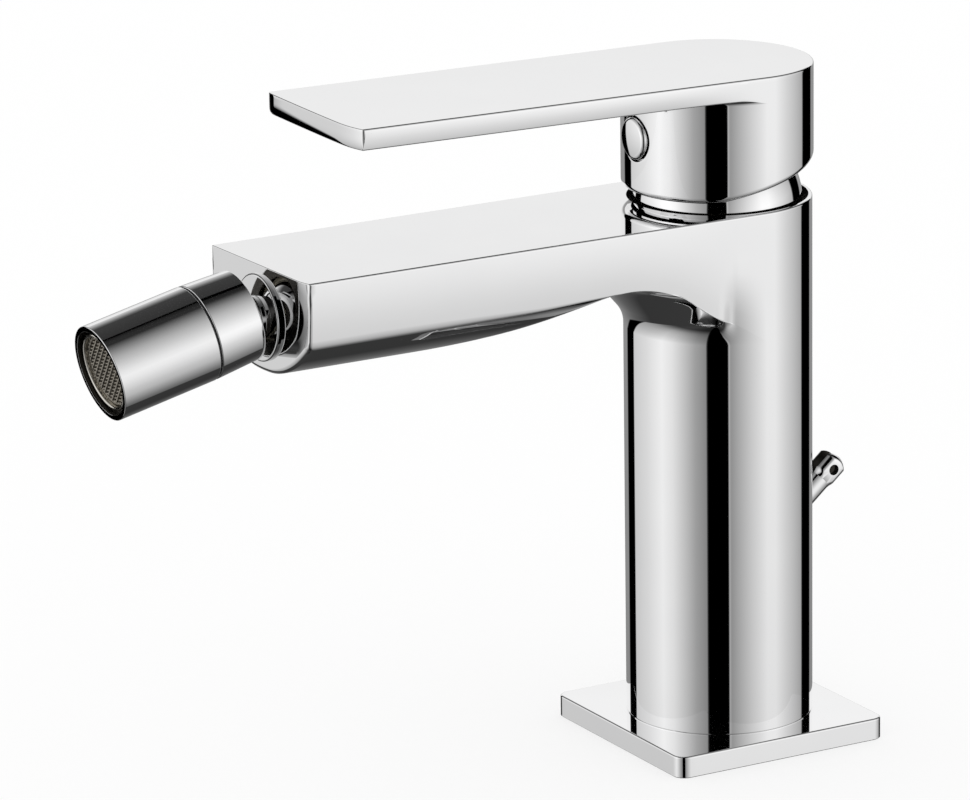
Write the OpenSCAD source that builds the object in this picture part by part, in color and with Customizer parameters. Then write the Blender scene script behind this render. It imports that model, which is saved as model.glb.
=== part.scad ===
// Bidet mixer: an upright round column on a square plate, a flat spout with a
// swivelling ball-jointed nozzle, and a flat lever on a ceramic disc cartridge.
// The frame has +Z up and the deck at Z = 0. The column's axis is the Z axis and the spout
// reaches along -Y. All sizes are in millimetres.

/* [Column] */
// Outside diameter of the upright column
column_d = 44; // [43:0.5:50]
// Height of the body's flat top above the deck
body_h = 130; // [115:1:160]
// Diameter of the open well inside the column, for the hoses and the fixing stud
well_d = 35; // [31:0.5:36]
// Thickness of the floor between the well and the cartridge seat
floor_t = 14; // [13:0.5:18]

/* [Base plate] */
// Side of the square plate
plate_w = 56.6; // [54:0.2:70]
// Thickness of the plate
plate_t = 5.2; // [4:0.2:8]
// Radius of the plate's upright corners
plate_corner_r = 3; // [0.5:0.1:4]
// Wall of the spigot that goes down through the plate
spigot_wall = 1.7; // [1.2:0.1:2.5]
// Mean diameter of the sealing ring under the plate
gasket_d = 48; // [45:0.5:50]
// Width of the sealing ring
gasket_w = 2.5; // [1.5:0.1:3]
// Thickness of the sealing ring
gasket_t = 1.5; // [1:0.1:2]

/* [Spout] */
// Distance from the column's axis to the spout's end face
spout_reach = 118.8; // [100:0.2:140]
// Width of the spout where it meets the column
spout_root_w = 43.7; // [40:0.1:43.8]
// Width of the spout at its end face
spout_tip_w = 43; // [40:0.2:44]
// Depth of the spout at its end face
spout_depth = 24.1; // [22:0.1:27]
// Radius of the spout's round belly
belly_r = 27.1; // [25:0.1:32]
// Radius of the long arch that lifts the belly towards the column
arch_r = 160; // [130:1:200]
// Straight length of the belly before the arch starts
arch_start = 16.8; // [12:0.2:24]
// Radius of the fillet between the spout's underside and the column
root_r = 20; // [14:0.5:24]
// Diameter of the waterway along the spout
waterway_d = 8.4; // [6:0.2:9]
// Diameter of the feed from the cartridge chamber to the waterway
feed_d = 6.4; // [5:0.2:7]
// Depth of the waterway's bend below the body's top
waterway_drop = 8; // [7.5:0.1:9]
// Distance of the waterway's bend from the column's axis
waterway_bend = 43; // [38:0.5:48]

/* [Inlets] */
// Bore of each threaded inlet port, M10 fine
inlet_d = 8.92; // [8.4:0.02:9.2]
// Depth of each inlet thread
inlet_l = 10; // [8:0.5:11]
// Sideways distance of each inlet from the axis
inlet_x = 7; // [6:0.5:8]
// Distance of the inlets in front of the axis
inlet_y = 6; // [5:0.5:8]
// Bore of the fixing stud's thread, M8
stud_hole_d = 6.8; // [6.4:0.1:7]
// Depth of the fixing stud's thread
stud_hole_l = 11; // [8:0.5:12]
// Distance of the fixing stud behind the axis
stud_hole_y = 9; // [8:0.5:11]
// Diameter of the water port from each inlet to the cartridge
port_d = 5; // [4:0.2:5.6]
// Sideways distance of each water port from the axis
port_x = 5.5; // [5:0.1:6]

/* [Cartridge] */
// Diameter of the cartridge
cartridge_d = 35; // [34.5:0.1:35.4]
// Height of the cartridge from its seat to its shoulder
cartridge_h = 21.5; // [21:0.1:23]
// Thickness of the cartridge's shoulder
shoulder_t = 2.5; // [2:0.1:3]
// Wall of the cartridge housing
housing_wall = 1.5; // [1.2:0.1:1.8]
// Wall of the housing's neck
neck_wall = 2.8; // [2:0.1:3.2]
// Height of the housing's neck above the shoulder
neck_h = 8.5; // [7:0.1:9]
// Thickness of the cartridge's base
cart_base_t = 4.5; // [4:0.1:5]
// Height of the spigot on the base that locates the housing
cart_spigot_h = 1; // [0.6:0.1:1.4]
// Thickness of each ceramic disc
disc_t = 3.2; // [2.8:0.1:3.4]
// Diameter of the ceramic disc that stays still
fixed_disc_d = 31; // [29:0.1:31.4]
// Diameter of the ceramic disc that slides
moving_disc_d = 26.4; // [24:0.1:26.6]
// Diameter of the mixing pocket under the sliding disc
pocket_d = 14; // [12:0.2:14.6]
// Depth of the mixing pocket
pocket_h = 1.6; // [1:0.1:2]
// Diameter of the outlet port
outlet_d = 6.4; // [5:0.1:7]
// Distance of the outlet port behind the axis
outlet_y = 7; // [6:0.1:8]
// Distance of the mixing pocket behind the axis at rest
pocket_y = 5.5; // [5:0.1:6]
// Thickness of the flat rubber seals around the ports
seal_t = 1.2; // [0.8:0.1:1.6]
// Width of each port seal's ring
seal_w = 1.4; // [1:0.1:1.8]
// Depth of the side outlet below the top of the cartridge's base
outlet_h = 3; // [2:0.1:3.4]
// Width of the ring-shaped gallery between the cartridge and the body
gallery_w = 1.1; // [0.6:0.1:1.4]
// Height of the plain lands below and above that gallery
gallery_land = 1; // [0.6:0.1:1.4]

/* [Turret and spindle] */
// Diameter of the turning turret in the housing's neck
turret_d = 22; // [21:0.1:22.4]
// Thickness of the turret's foot plate
turret_foot_t = 2.2; // [1.8:0.1:2.4]
// How far the turret stands above the housing's neck
turret_proud = 1; // [0.5:0.1:2]
// Depth of the lift pivot below the body's top
pivot_drop = 2; // [1:0.1:3]
// Largest lift of the lever, in degrees
lift_max = 20; // [15:0.5:20]
// Width of the square spindle
spindle_w = 7; // [6:0.1:7.4]
// Height of the spindle's top above the pivot
spindle_top = 25; // [23:0.2:26]
// Distance from the pivot down to the spindle's round tip
spindle_arm = 13; // [12.4:0.1:13.2]
// Diameter of the spindle's round tip
tip_d = 6; // [5:0.1:6.2]
// Diameter of the spindle's shank above its tip
shank_d = 5; // [4:0.1:5.4]
// Diameter of the pivot pin
pin_d = 3; // [2.5:0.1:3.4]

/* [Nut and collar] */
// Diameter of the cartridge nut's thread
nut_d = 36.4; // [35.6:0.1:37]
// Height of the nut's thread
nut_h = 4; // [3:0.1:5]
// Width across the flats of the nut's hexagon
nut_af = 30; // [29:0.1:31]
// Height of the nut's hexagon
nut_hex_h = 2.5; // [2:0.1:3]
// Diameter of the collar at the body's top
collar_d = 39.4; // [38.6:0.1:40.4]
// Height of the collar's dome above the body's top
collar_rise = 10; // [8:0.1:10.4]
// Depth of the collar's skirt in the body
collar_skirt = 4.5; // [4:0.1:6]
// Wall of the collar
collar_wall = 1.4; // [1:0.1:1.8]

/* [Handle] */
// Diameter of the handle's round head
handle_d = 44.6; // [43.6:0.1:50]
// Height of the lever's top above the body's top, on the axis
lever_h = 31.8; // [30.5:0.1:38]
// Width of the lever's plate
lever_w = 44.4; // [40:0.1:44.4]
// Distance from the axis to the lever's front edge
lever_reach = 105.6; // [80:0.2:130]
// Thickness of the lever's plate
lever_t = 4.9; // [4:0.1:5.6]
// Rise of the lever towards its front edge, in degrees
lever_rise = 0.8; // [0:0.1:2]
// Gap between the body's top and the handle's lower edge
handle_gap = 2.7; // [1.5:0.1:3]
// Rounding of the handle's lower edge
skirt_fillet = 1.2; // [0.8:0.1:4]
// Slope of the handle's lower edge towards the rear, in degrees
skirt_slope = 11.9; // [11:0.1:14]
// Distance in front of the axis where that slope starts
skirt_break = 11.5; // [8:0.1:14]
// Clearance of the handle's inside round the collar's dome
skirt_gap = 0.2; // [0.2:0.05:0.5]
// Thickness of metal over the handle's cavity
roof_t = 6.8; // [6:0.1:8]
// Diameter of the hub that holds the spindle
hub_d = 16; // [14:0.1:16.4]
// Height of the hub's lower end above the pivot
hub_drop = 13; // [12.8:0.1:15]
// Height of the grub screw and its plug above the body's top
plug_h = 16; // [15.6:0.1:17]
// Diameter of the round plug
plug_d = 10.4; // [9:0.1:10.8]
// Depth of the plug's pocket in the handle
plug_l = 4; // [3:0.1:5]
// Height of the plug's domed face
plug_dome = 1.4; // [0.6:0.1:2]
// Wall round the plug's pocket
plug_wall = 1; // [0.8:0.1:1.2]
// Diameter of the grub screw
grub_d = 5; // [4:0.1:5.4]
// Length of the grub screw
grub_l = 6.5; // [5:0.1:7]
// Width across the flats of the grub screw's socket
grub_af = 2.5; // [2:0.1:2.6]
// Depth of the grub screw's socket
grub_socket = 3; // [2:0.1:4]
// Wall round the grub screw in the hub
grub_wall = 2; // [1.5:0.1:2.2]

/* [Ball stud] */
// Depth of the ball stud's axis below the body's top
stud_drop = 12.1; // [11:0.1:13]
// Distance from the end face to the centre of the ball
ball_reach = 11; // [10.8:0.1:14]
// Diameter of the ball
ball_d = 15; // [14.6:0.1:15.2]
// Diameter of the stud's flange
flange_d = 20; // [18:0.2:21]
// Thickness of the stud's flange
flange_t = 1.5; // [1:0.1:1.6]
// Diameter of the stud's neck
stud_neck_d = 8.4; // [7.6:0.1:8.5]
// Diameter of the stud's threaded shank
stud_shank_d = 12.8; // [11:0.1:13.4]
// Length of the stud's threaded shank
stud_shank_l = 11; // [8:0.1:13]
// Bore through the stud
stud_bore_d = 4.4; // [3:0.1:5]
// Mean diameter of the sealing ring behind the flange
oring_d = 15.8; // [15.6:0.1:16.4]
// Thickness of that sealing ring's section
oring_t = 1.6; // [1.2:0.1:1.8]

/* [Nozzle] */
// Downward tilt of the nozzle at rest, in degrees
nozzle_tilt = 13.2; // [5:0.1:17]
// Diameter of the nozzle's front sleeve
nozzle_d = 22.3; // [22:0.1:26]
// Diameter of the nozzle's rear end
nozzle_tail_d = 21.2; // [20.6:0.1:21.6]
// Length of the rear cap
cap_l = 11.5; // [11:0.1:13]
// Length of the front sleeve
sleeve_l = 24.6; // [23:0.1:30]
// Width of the groove between the cap and the sleeve
groove_w = 0.3; // [0.2:0.05:0.6]
// Depth of that groove
groove_h = 0.45; // [0.3:0.05:0.6]
// Distance from the ball's centre back to the cap's rear face
tail_l = 5.5; // [5:0.1:5.8]
// Wall of the cap round the sleeve's thread
cap_wall = 1.25; // [1:0.05:1.4]
// Wall of each ball seat
seat_wall = 1; // [0.8:0.05:1.1]
// Rear edge of the rear ball seat, behind the ball's centre
rear_seat_back = 4; // [3.8:0.05:4.2]
// Front edge of the rear ball seat, behind the ball's centre
rear_seat_front = 0.6; // [0.5:0.05:0.8]
// Rear edge of the front ball seat, ahead of the ball's centre
front_seat_back = 1.7; // [1.6:0.05:2]
// Front edge of the front ball seat, ahead of the ball's centre
front_seat_front = 6.2; // [5.6:0.05:6.6]
// Start of the sleeve's thread, ahead of the ball's centre
thread_start = 0.6; // [0.4:0.05:1]
// Diameter of the water passage behind the aerator
passage_d = 9; // [7:0.1:9.6]
// Start of the aerator's chamber, ahead of the ball's centre
chamber_start = 12.5; // [11:0.1:13]
// Wall of the front sleeve at its rim
rim_wall = 1.35; // [1:0.05:1.8]

/* [Aerator] */
// Thickness of the rubber washer behind the aerator
washer_t = 1.5; // [1:0.1:2]
// Width of the rubber washer's ring
washer_w = 3.2; // [2:0.1:4]
// Wall of the aerator's housing
aerator_wall = 0.8; // [0.6:0.05:1]
// How far the aerator's rim lies back from the sleeve's rim
aerator_inset = 0.7; // [0.3:0.05:1.5]
// How far the screen lies back from the aerator's rim
screen_inset = 1; // [0.5:0.05:1.6]
// Thickness of the screen
screen_t = 0.6; // [0.4:0.05:0.8]
// Pitch of the screen's wires
screen_pitch = 1.6; // [1.4:0.1:2.4]
// Width of each wire of the screen
wire_w = 0.5; // [0.3:0.05:0.7]
// Width of the ledges inside the aerator's housing
ledge_w = 0.9; // [0.6:0.05:1.2]
// Thickness of those ledges
ledge_t = 0.8; // [0.6:0.05:1.2]
// Thickness of the diffuser disc
diffuser_t = 1.6; // [1.2:0.1:2]
// Distance of the diffuser ahead of the aerator housing's rear end
diffuser_l = 4; // [3:0.1:6]
// Number of holes in the diffuser
diffuser_holes = 8; // [6:1:12]
// Diameter of each diffuser hole
diffuser_hole_d = 2.4; // [1.6:0.1:2.6]

/* [Chain stay] */
// Height where the stay's axis meets the back of the column
stay_z = 52.3; // [40:0.5:80]
// Upward slope of the stay, in degrees
stay_slope = 40; // [30:1:50]
// Distance from the column's surface to the cross hole, along the stay
stay_l = 10.7; // [9:0.1:14]
// Diameter of the stay's rod
stay_rod_d = 6.4; // [5.4:0.1:6.6]
// Diameter of the stay's forked head
stay_head_d = 7.2; // [6.8:0.1:8]
// Width of the head across its flat cheeks
stay_cheek_w = 6.2; // [5.6:0.1:6.6]
// Length of the head behind the cross hole
stay_head_l = 3.6; // [3.4:0.1:4.5]
// Length of the head beyond the cross hole
stay_end_l = 3.7; // [3.2:0.1:4.2]
// Radius of the head's domed end
stay_dome_r = 5.2; // [4.8:0.1:7]
// Width of the slot in the head
stay_slot_w = 2.4; // [1.8:0.1:2.8]
// Depth of the slot behind the cross hole
stay_slot_l = 3.3; // [2.6:0.1:3.4]
// Diameter of the cross hole
stay_hole_d = 2.4; // [2:0.1:2.6]
// Diameter of the stay's threaded tenon
stay_tenon_d = 5; // [4:0.1:5.2]

/* [Fits] */
// Clearance between pieces that move past each other
move_gap = 0.3; // [0.3:0.02:0.4]
// Radial clearance of a shaft or a spigot in its hole
slip = 0.05; // [0.02:0.01:0.1]
// Clearance between the ball and its seats
ball_gap = 0.1; // [0.05:0.01:0.12]

/* [Hidden] */
$fn = 96;
over = 1; // extra length of a cut past the face that it opens
root_sink = 0.1; // how far the root fillet's arc starts inside the column
arc_steps = 12; // chords in each rounded stretch of an outline

// Heights, from the body's top down to the well
column_r = column_d / 2;
well_r = well_d / 2;
pivot_z = body_h - pivot_drop;
ledge_z = body_h - collar_skirt;
shoulder_z = ledge_z - nut_h;
seat_z = shoulder_z - cartridge_h;
well_h = seat_z - floor_t;
spigot_r = well_r + spigot_wall;
gasket_outer_r = (gasket_d + gasket_w) / 2;
gasket_inner_r = (gasket_d - gasket_w) / 2;

// Spout
belly_low = body_h - spout_depth;
belly_z = belly_low + belly_r;
arch_y = spout_reach - arch_start;
arch_z = belly_low + arch_r;
root_y = column_r + root_r - root_sink;
root_z = arch_z - sqrt(pow(arch_r + root_r, 2) - pow(arch_y - root_y, 2));
root_angle = atan2(arch_z - root_z, arch_y - root_y);
stud_z = body_h - stud_drop;
waterway_z = body_h - waterway_drop;
socket_l = stud_shank_l + over;

// Cartridge stack, from the seat up
cartridge_r = cartridge_d / 2;
housing_r = cartridge_r - housing_wall;
cart_base_z = seat_z + cart_base_t;
housing_z = cart_base_z - cart_spigot_h;
moving_z = cart_base_z + disc_t + slip;
carrier_z = moving_z + disc_t;
shoulder_low = shoulder_z - shoulder_t;
turret_foot_z = shoulder_low - move_gap - turret_foot_t;
carrier_top = turret_foot_z - move_gap;
neck_top = shoulder_z + neck_h;
neck_r = turret_d / 2 + slip;
neck_outer_r = neck_r + neck_wall;
turret_top = neck_top + turret_proud;
disc_travel = spindle_arm * sin(lift_max);
tip_z = pivot_z - spindle_arm;
gallery_r = cartridge_r + gallery_w;
gallery_top = shoulder_low - gallery_land;
seal_r = port_d / 2 + seal_w;

// Turret slot: the spindle leans back above the pivot and forward below it
shank_lean = (pivot_z - turret_foot_z) * tan(lift_max) + shank_d / 2 / cos(lift_max);
slot_front = max(shank_lean, disc_travel + tip_d / 2) + move_gap;
slot_rear = (turret_top - pivot_z) * tan(lift_max) + spindle_w / 2 / cos(lift_max) + move_gap;
slot_w = spindle_w + 2 * move_gap;
pin_l = turret_d - 2 * move_gap;
shank_z = pivot_z - spindle_w / 2;

// Collar and handle
collar_r = collar_d / 2;
dome_r = norm([collar_r, pivot_drop]);
handle_r = handle_d / 2;
skirt_r = dome_r + skirt_gap;
handle_z = body_h + handle_gap;
lever_top = body_h + lever_h;
cavity_z = lever_top - roof_t;
hub_z = pivot_z + hub_drop;
plug_z = body_h + plug_h;
plug_r = plug_d / 2;
pocket_r = plug_r + slip;
pocket_end = handle_r - plug_l;
spindle_fit = spindle_w + 2 * slip;
grub_out = spindle_w / 2 + slip + grub_l;
key_d = grub_d + 2 * slip;

// Ball stud and nozzle
ball_y = spout_reach + ball_reach;
ball_r = ball_d / 2;
seat_in_r = ball_r + ball_gap;
seat_out_r = seat_in_r + seat_wall;
cavity_r = seat_out_r + move_gap;
nozzle_r = nozzle_d / 2;
groove_l = cap_l - tail_l;
sleeve_start = groove_l + groove_w;
rim_l = sleeve_start + sleeve_l;
thread_r = nozzle_r - cap_wall;
chamber_r = nozzle_r - rim_wall;
aerator_r = chamber_r - slip;
aerator_start = chamber_start + washer_t;
aerator_end = rim_l - aerator_inset;
screen_l = aerator_end - screen_inset - screen_t;
screen_r = aerator_r - aerator_wall - slip;
diffuser_z = aerator_start + diffuser_l;

// Chain stay
stay_tip_r = stay_head_d / 2;
tenon_l = (column_r - well_r) / cos(stay_slope);

// Points on an arc between two angles
function arc(centre, r, from, to) =
    [for (i = [0 : arc_steps]) let (a = from + (to - from) * i / arc_steps) centre + r * [cos(a), sin(a)]];

// A ring or tube standing on z
module ring(z, h, outer, inner) {
    translate([0, 0, z])
        difference() {
            cylinder(r = outer, h = h);
            translate([0, 0, -over]) cylinder(r = inner, h = h + 2 * over);
        }
}

// A cylinder along -Y that starts at a distance in front of the axis
module forward(start, l, r, z) {
    translate([0, -start, z]) rotate([90, 0, 0]) cylinder(r = r, h = l);
}

// A round bore in the plane X = 0 between two points given as [y, z]
module bore_between(a, b, r) {
    d = b - a;
    translate([0, a[0], a[1]])
        rotate([-atan2(d[0], d[1]), 0, 0])
            cylinder(r = r, h = norm(d));
}

// A square with round corners, centred
module round_square(w, r) {
    square([w, w - 2 * r], center = true);
    square([w - 2 * r, w], center = true);
    for (x = [-1, 1], y = [-1, 1])
        translate([x, y] * (w / 2 - r)) circle(r = r);
}

// A hexagonal prism of a width across its flats
module hexagon(flats, h) {
    cylinder(d = flats / cos(30), h = h, $fn = 6);
}

// The nozzle's own frame: the origin is the ball's centre and +Z points out of the nozzle
module in_nozzle() {
    translate([0, -ball_y, stud_z]) rotate([90 + nozzle_tilt, 0, 0]) children();
}

// The slab of a round shape between two heights along the nozzle
module zone(low, high, r) {
    translate([0, 0, low]) cylinder(r = r, h = high - low);
}

// The chain stay's own frame: +Z runs along the stay from the column's surface
module in_stay() {
    translate([0, column_r, stay_z]) rotate([-(90 - stay_slope), 0, 0]) children();
}

// Both sides of the centre plane
module both_sides() {
    children();
    mirror([1, 0, 0]) children();
}

// Underside of the spout, turned about the column: root fillet, long arch, straight belly
module underside_profile() {
    polygon(concat(
        [[0, body_h + over], [0, root_z]],
        arc([root_y, root_z], root_r, 180, root_angle),
        arc([arch_y, arch_z], arch_r, 180 + root_angle, 270),
        [[spout_reach + column_r, belly_low], [spout_reach + column_r, body_h + over]]));
}

// Spout without its waterway: flat top, upright sides, round belly and arched root
module spout_solid() {
    intersection() {
        linear_extrude(height = body_h)
            polygon([[-spout_root_w / 2, 0], [spout_root_w / 2, 0],
                [spout_tip_w / 2, -spout_reach], [-spout_tip_w / 2, -spout_reach]]);
        union() {
            forward(0, spout_reach + over, belly_r, belly_z);
            cylinder(r = root_y, h = body_h + over);
        }
        rotate_extrude() underside_profile();
    }
}

module body() {
    color("silver")
        difference() {
            union() {
                translate([0, 0, plate_t]) cylinder(r = column_r, h = body_h - plate_t);
                cylinder(r = spigot_r, h = plate_t + over);
                spout_solid();
            }
            // Well, inlet ports and fixing stud hole
            translate([0, 0, -over]) cylinder(r = well_r, h = well_h + over);
            both_sides() {
                translate([inlet_x, -inlet_y, well_h - over]) cylinder(d = inlet_d, h = inlet_l + over);
                translate([port_x, -inlet_y, well_h]) cylinder(d = port_d, h = floor_t + over);
            }
            translate([0, stud_hole_y, well_h - over]) cylinder(d = stud_hole_d, h = stud_hole_l + over);
            // Cartridge chamber with its outlet gallery, nut thread and collar recess
            translate([0, 0, seat_z]) cylinder(r = cartridge_r + slip, h = body_h);
            translate([0, 0, seat_z + gallery_land])
                cylinder(r = gallery_r, h = gallery_top - seat_z - gallery_land);
            translate([0, 0, shoulder_z - over]) cylinder(r = nut_d / 2 + slip, h = body_h);
            translate([0, 0, ledge_z]) cylinder(r = collar_r + slip, h = body_h);
            // Feed from the gallery, waterway and stud socket
            bore_between([-cartridge_r, gallery_top - feed_d / 2], [-waterway_bend, waterway_z], feed_d / 2);
            bore_between([-waterway_bend + over, waterway_z], [-spout_reach + stud_shank_l, stud_z],
                waterway_d / 2);
            forward(spout_reach - socket_l, socket_l + over, stud_shank_d / 2 + slip, stud_z);
            // Groove for the sealing ring behind the stud's flange
            translate([0, -spout_reach, stud_z]) rotate([-90, 0, 0])
                ring(-over, over + oring_t, oring_d / 2 + oring_t / 2 + slip,
                    oring_d / 2 - oring_t / 2 - slip);
            // Tapped hole for the chain stay
            in_stay()
                translate([0, 0, -tenon_l]) cylinder(d = stay_tenon_d + 2 * slip, h = tenon_l + stay_l);
        }
}

module base_plate() {
    color("gainsboro")
        difference() {
            linear_extrude(height = plate_t) round_square(plate_w, plate_corner_r);
            translate([0, 0, -over]) cylinder(r = spigot_r + slip, h = plate_t + 2 * over);
            ring(-over, gasket_t + over, gasket_outer_r + slip, gasket_inner_r - slip);
        }
}

module base_gasket() {
    color("dimgray") ring(0, gasket_t, gasket_outer_r, gasket_inner_r);
}

module chain_stay() {
    color("lightgray")
        difference() {
            in_stay()
                difference() {
                    union() {
                        translate([0, 0, -column_r]) cylinder(d = stay_rod_d, h = column_r + stay_l);
                        intersection() {
                            translate([0, 0, stay_l - stay_head_l])
                                cylinder(r = stay_tip_r, h = stay_head_l + stay_end_l);
                            translate([0, 0, stay_l + stay_end_l - stay_dome_r]) sphere(r = stay_dome_r);
                            translate([-stay_cheek_w / 2, -stay_tip_r, stay_l - stay_head_l])
                                cube([stay_cheek_w, stay_head_d, stay_head_l + stay_end_l]);
                        }
                    }
                    translate([-stay_slot_w / 2, -stay_head_d, stay_l - stay_slot_l])
                        cube([stay_slot_w, 2 * stay_head_d, stay_slot_l + stay_head_d]);
                    translate([-stay_head_d, 0, stay_l])
                        rotate([0, 90, 0]) cylinder(d = stay_hole_d, h = 2 * stay_head_d);
                }
            cylinder(r = column_r, h = body_h);
        }
    color("lightgray")
        intersection() {
            in_stay() translate([0, 0, -tenon_l]) cylinder(d = stay_tenon_d, h = tenon_l + stay_rod_d);
            ring(0, body_h, column_r, well_r + slip);
        }
}

module cartridge_base() {
    color("whitesmoke")
        difference() {
            union() {
                translate([0, 0, seat_z]) cylinder(r = cartridge_r, h = cart_base_t - cart_spigot_h);
                translate([0, 0, seat_z]) cylinder(r = housing_r - slip, h = cart_base_t);
            }
            both_sides()
                translate([port_x, -inlet_y, seat_z - over]) {
                    cylinder(d = port_d, h = cart_base_t + 2 * over);
                    cylinder(r = seal_r + slip, h = seal_t + over);
                }
            // Outlet port, turned sideways into the gallery
            translate([0, outlet_y, cart_base_z - outlet_h]) cylinder(d = outlet_d, h = outlet_h + over);
            translate([-outlet_d / 2, outlet_y, cart_base_z - outlet_h])
                cube([outlet_d, cartridge_r, outlet_h - cart_spigot_h]);
        }
}

module port_seals() {
    color("black")
        both_sides() translate([port_x, -inlet_y, 0]) ring(seat_z, seal_t, seal_r, port_d / 2);
}

module cartridge_housing() {
    color("white")
        difference() {
            union() {
                ring(housing_z, shoulder_z - housing_z, cartridge_r, neck_r);
                ring(shoulder_low, neck_h + shoulder_t, neck_outer_r, neck_r);
            }
            translate([0, 0, seat_z]) cylinder(r = housing_r, h = shoulder_low - seat_z);
            // Window over the side outlet
            translate([-outlet_d / 2, 0, cart_base_z - outlet_h])
                cube([outlet_d, cartridge_d, outlet_h]);
        }
}

module fixed_disc() {
    color("ghostwhite")
        difference() {
            translate([0, 0, cart_base_z]) cylinder(d = fixed_disc_d, h = disc_t);
            both_sides()
                translate([port_x, -inlet_y, cart_base_z - over])
                    cylinder(d = port_d, h = disc_t + 2 * over);
            translate([0, outlet_y, cart_base_z - over]) cylinder(d = outlet_d, h = disc_t + 2 * over);
        }
}

module moving_disc() {
    color("lavender")
        difference() {
            translate([0, disc_travel / 2, moving_z]) cylinder(d = moving_disc_d, h = disc_t);
            translate([0, pocket_y, moving_z - over]) cylinder(d = pocket_d, h = pocket_h + over);
        }
}

module disc_carrier() {
    color("lightsteelblue")
        difference() {
            translate([0, disc_travel / 2, carrier_z])
                cylinder(d = moving_disc_d, h = carrier_top - carrier_z);
            translate([0, 0, carrier_z - over]) cylinder(r = tip_d / 2 + move_gap, h = carrier_top);
        }
}

module turret() {
    color("slategray")
        difference() {
            union() {
                translate([0, 0, turret_foot_z]) cylinder(r = housing_r - move_gap, h = turret_foot_t);
                translate([0, 0, turret_foot_z]) cylinder(d = turret_d, h = turret_top - turret_foot_z);
            }
            translate([-slot_w / 2, -slot_front, turret_foot_z - over])
                cube([slot_w, slot_front + slot_rear, turret_top]);
            translate([-turret_d, 0, pivot_z]) rotate([0, 90, 0]) cylinder(d = pin_d, h = 2 * turret_d);
        }
}

module spindle_pin() {
    color("gray") translate([-pin_l / 2, 0, pivot_z]) rotate([0, 90, 0]) cylinder(d = pin_d, h = pin_l);
}

module spindle() {
    color("darkgoldenrod")
        difference() {
            union() {
                translate([0, 0, tip_z]) sphere(d = tip_d);
                translate([0, 0, tip_z]) cylinder(d = shank_d, h = pivot_z - tip_z);
                translate([-spindle_w / 2, -spindle_w / 2, shank_z])
                    cube([spindle_w, spindle_w, pivot_z + spindle_top - shank_z]);
            }
            translate([-turret_d, 0, pivot_z])
                rotate([0, 90, 0]) cylinder(d = pin_d + 2 * slip, h = 2 * turret_d);
        }
}

module cartridge_nut() {
    color("goldenrod")
        difference() {
            union() {
                translate([0, 0, shoulder_z]) cylinder(d = nut_d, h = nut_h);
                translate([0, 0, shoulder_z]) hexagon(nut_af, nut_h + nut_hex_h);
            }
            translate([0, 0, shoulder_z - over])
                cylinder(r = neck_outer_r + slip, h = nut_h + nut_hex_h + 2 * over);
        }
}

module collar() {
    color("silver") {
        ring(ledge_z, collar_skirt, collar_r, collar_r - collar_wall);
        difference() {
            intersection() {
                translate([0, 0, pivot_z]) sphere(r = dome_r);
                translate([0, 0, body_h]) cylinder(r = collar_r, h = collar_rise);
            }
            translate([0, 0, pivot_z]) sphere(r = dome_r - collar_wall);
        }
    }
}

// Profile of the handle's head with a level, rounded lower edge
module head_profile() {
    polygon(concat([[0, handle_z]],
        arc([handle_r - skirt_fillet, handle_z + skirt_fillet], skirt_fillet, -90, 0),
        [[handle_r, lever_top + handle_r], [0, lever_top + handle_r]]));
}

// Profile that keeps what lies above the sloping rear edge: flat, rounded, then leaning out
module slope_profile() {
    corner = handle_r / cos(skirt_slope);
    run = skirt_fillet / tan((90 + skirt_slope) / 2);
    edge = arc([corner - run, skirt_fillet], skirt_fillet, -90, -skirt_slope);
    rise = 2 * lever_h;
    polygon(concat([[0, 0]], edge, [edge[arc_steps] + rise * [tan(skirt_slope), 1], [0, rise]]));
}

// The tilted frame of the lever's flat top
module in_lever() {
    translate([0, 0, lever_top]) rotate([-lever_rise, 0, 0]) children();
}

// The handle's round head with its flat lever
module handle_solid() {
    intersection() {
        rotate_extrude() head_profile();
        translate([0, 0, handle_z + skirt_break * tan(skirt_slope)])
            rotate([skirt_slope, 0, 0]) rotate_extrude() slope_profile();
        in_lever()
            translate([-handle_d, -handle_d, -lever_top]) cube([2 * handle_d, 2 * handle_d, lever_top]);
    }
    in_lever() translate([-lever_w / 2, -lever_reach, -lever_t]) cube([lever_w, lever_reach, lever_t]);
}

module handle() {
    color("silver")
        difference() {
            union() {
                difference() {
                    handle_solid();
                    translate([0, 0, body_h]) cylinder(r = skirt_r, h = cavity_z - body_h);
                }
                // Hub for the spindle, and bosses for the grub screw and the plug
                translate([0, 0, hub_z]) cylinder(d = hub_d, h = cavity_z - hub_z + over);
                forward(0, grub_out + over, grub_d / 2 + grub_wall, plug_z);
                intersection() {
                    forward(pocket_end - plug_wall, plug_l + plug_wall, pocket_r + plug_wall, plug_z);
                    cylinder(r = handle_r, h = cavity_z);
                }
            }
            translate([-spindle_fit / 2, -spindle_fit / 2, body_h])
                cube([spindle_fit, spindle_fit, pivot_z + spindle_top + slip - body_h]);
            forward(0, handle_d, key_d / 2, plug_z);
            forward(pocket_end, handle_d, pocket_r, plug_z);
        }
}

module grub_screw() {
    color("dimgray")
        difference() {
            forward(spindle_w / 2, grub_l, grub_d / 2, plug_z);
            translate([0, -spindle_w / 2 - grub_l + grub_socket, plug_z]) rotate([90, 0, 0])
                hexagon(grub_af, grub_socket + over);
        }
}

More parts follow.
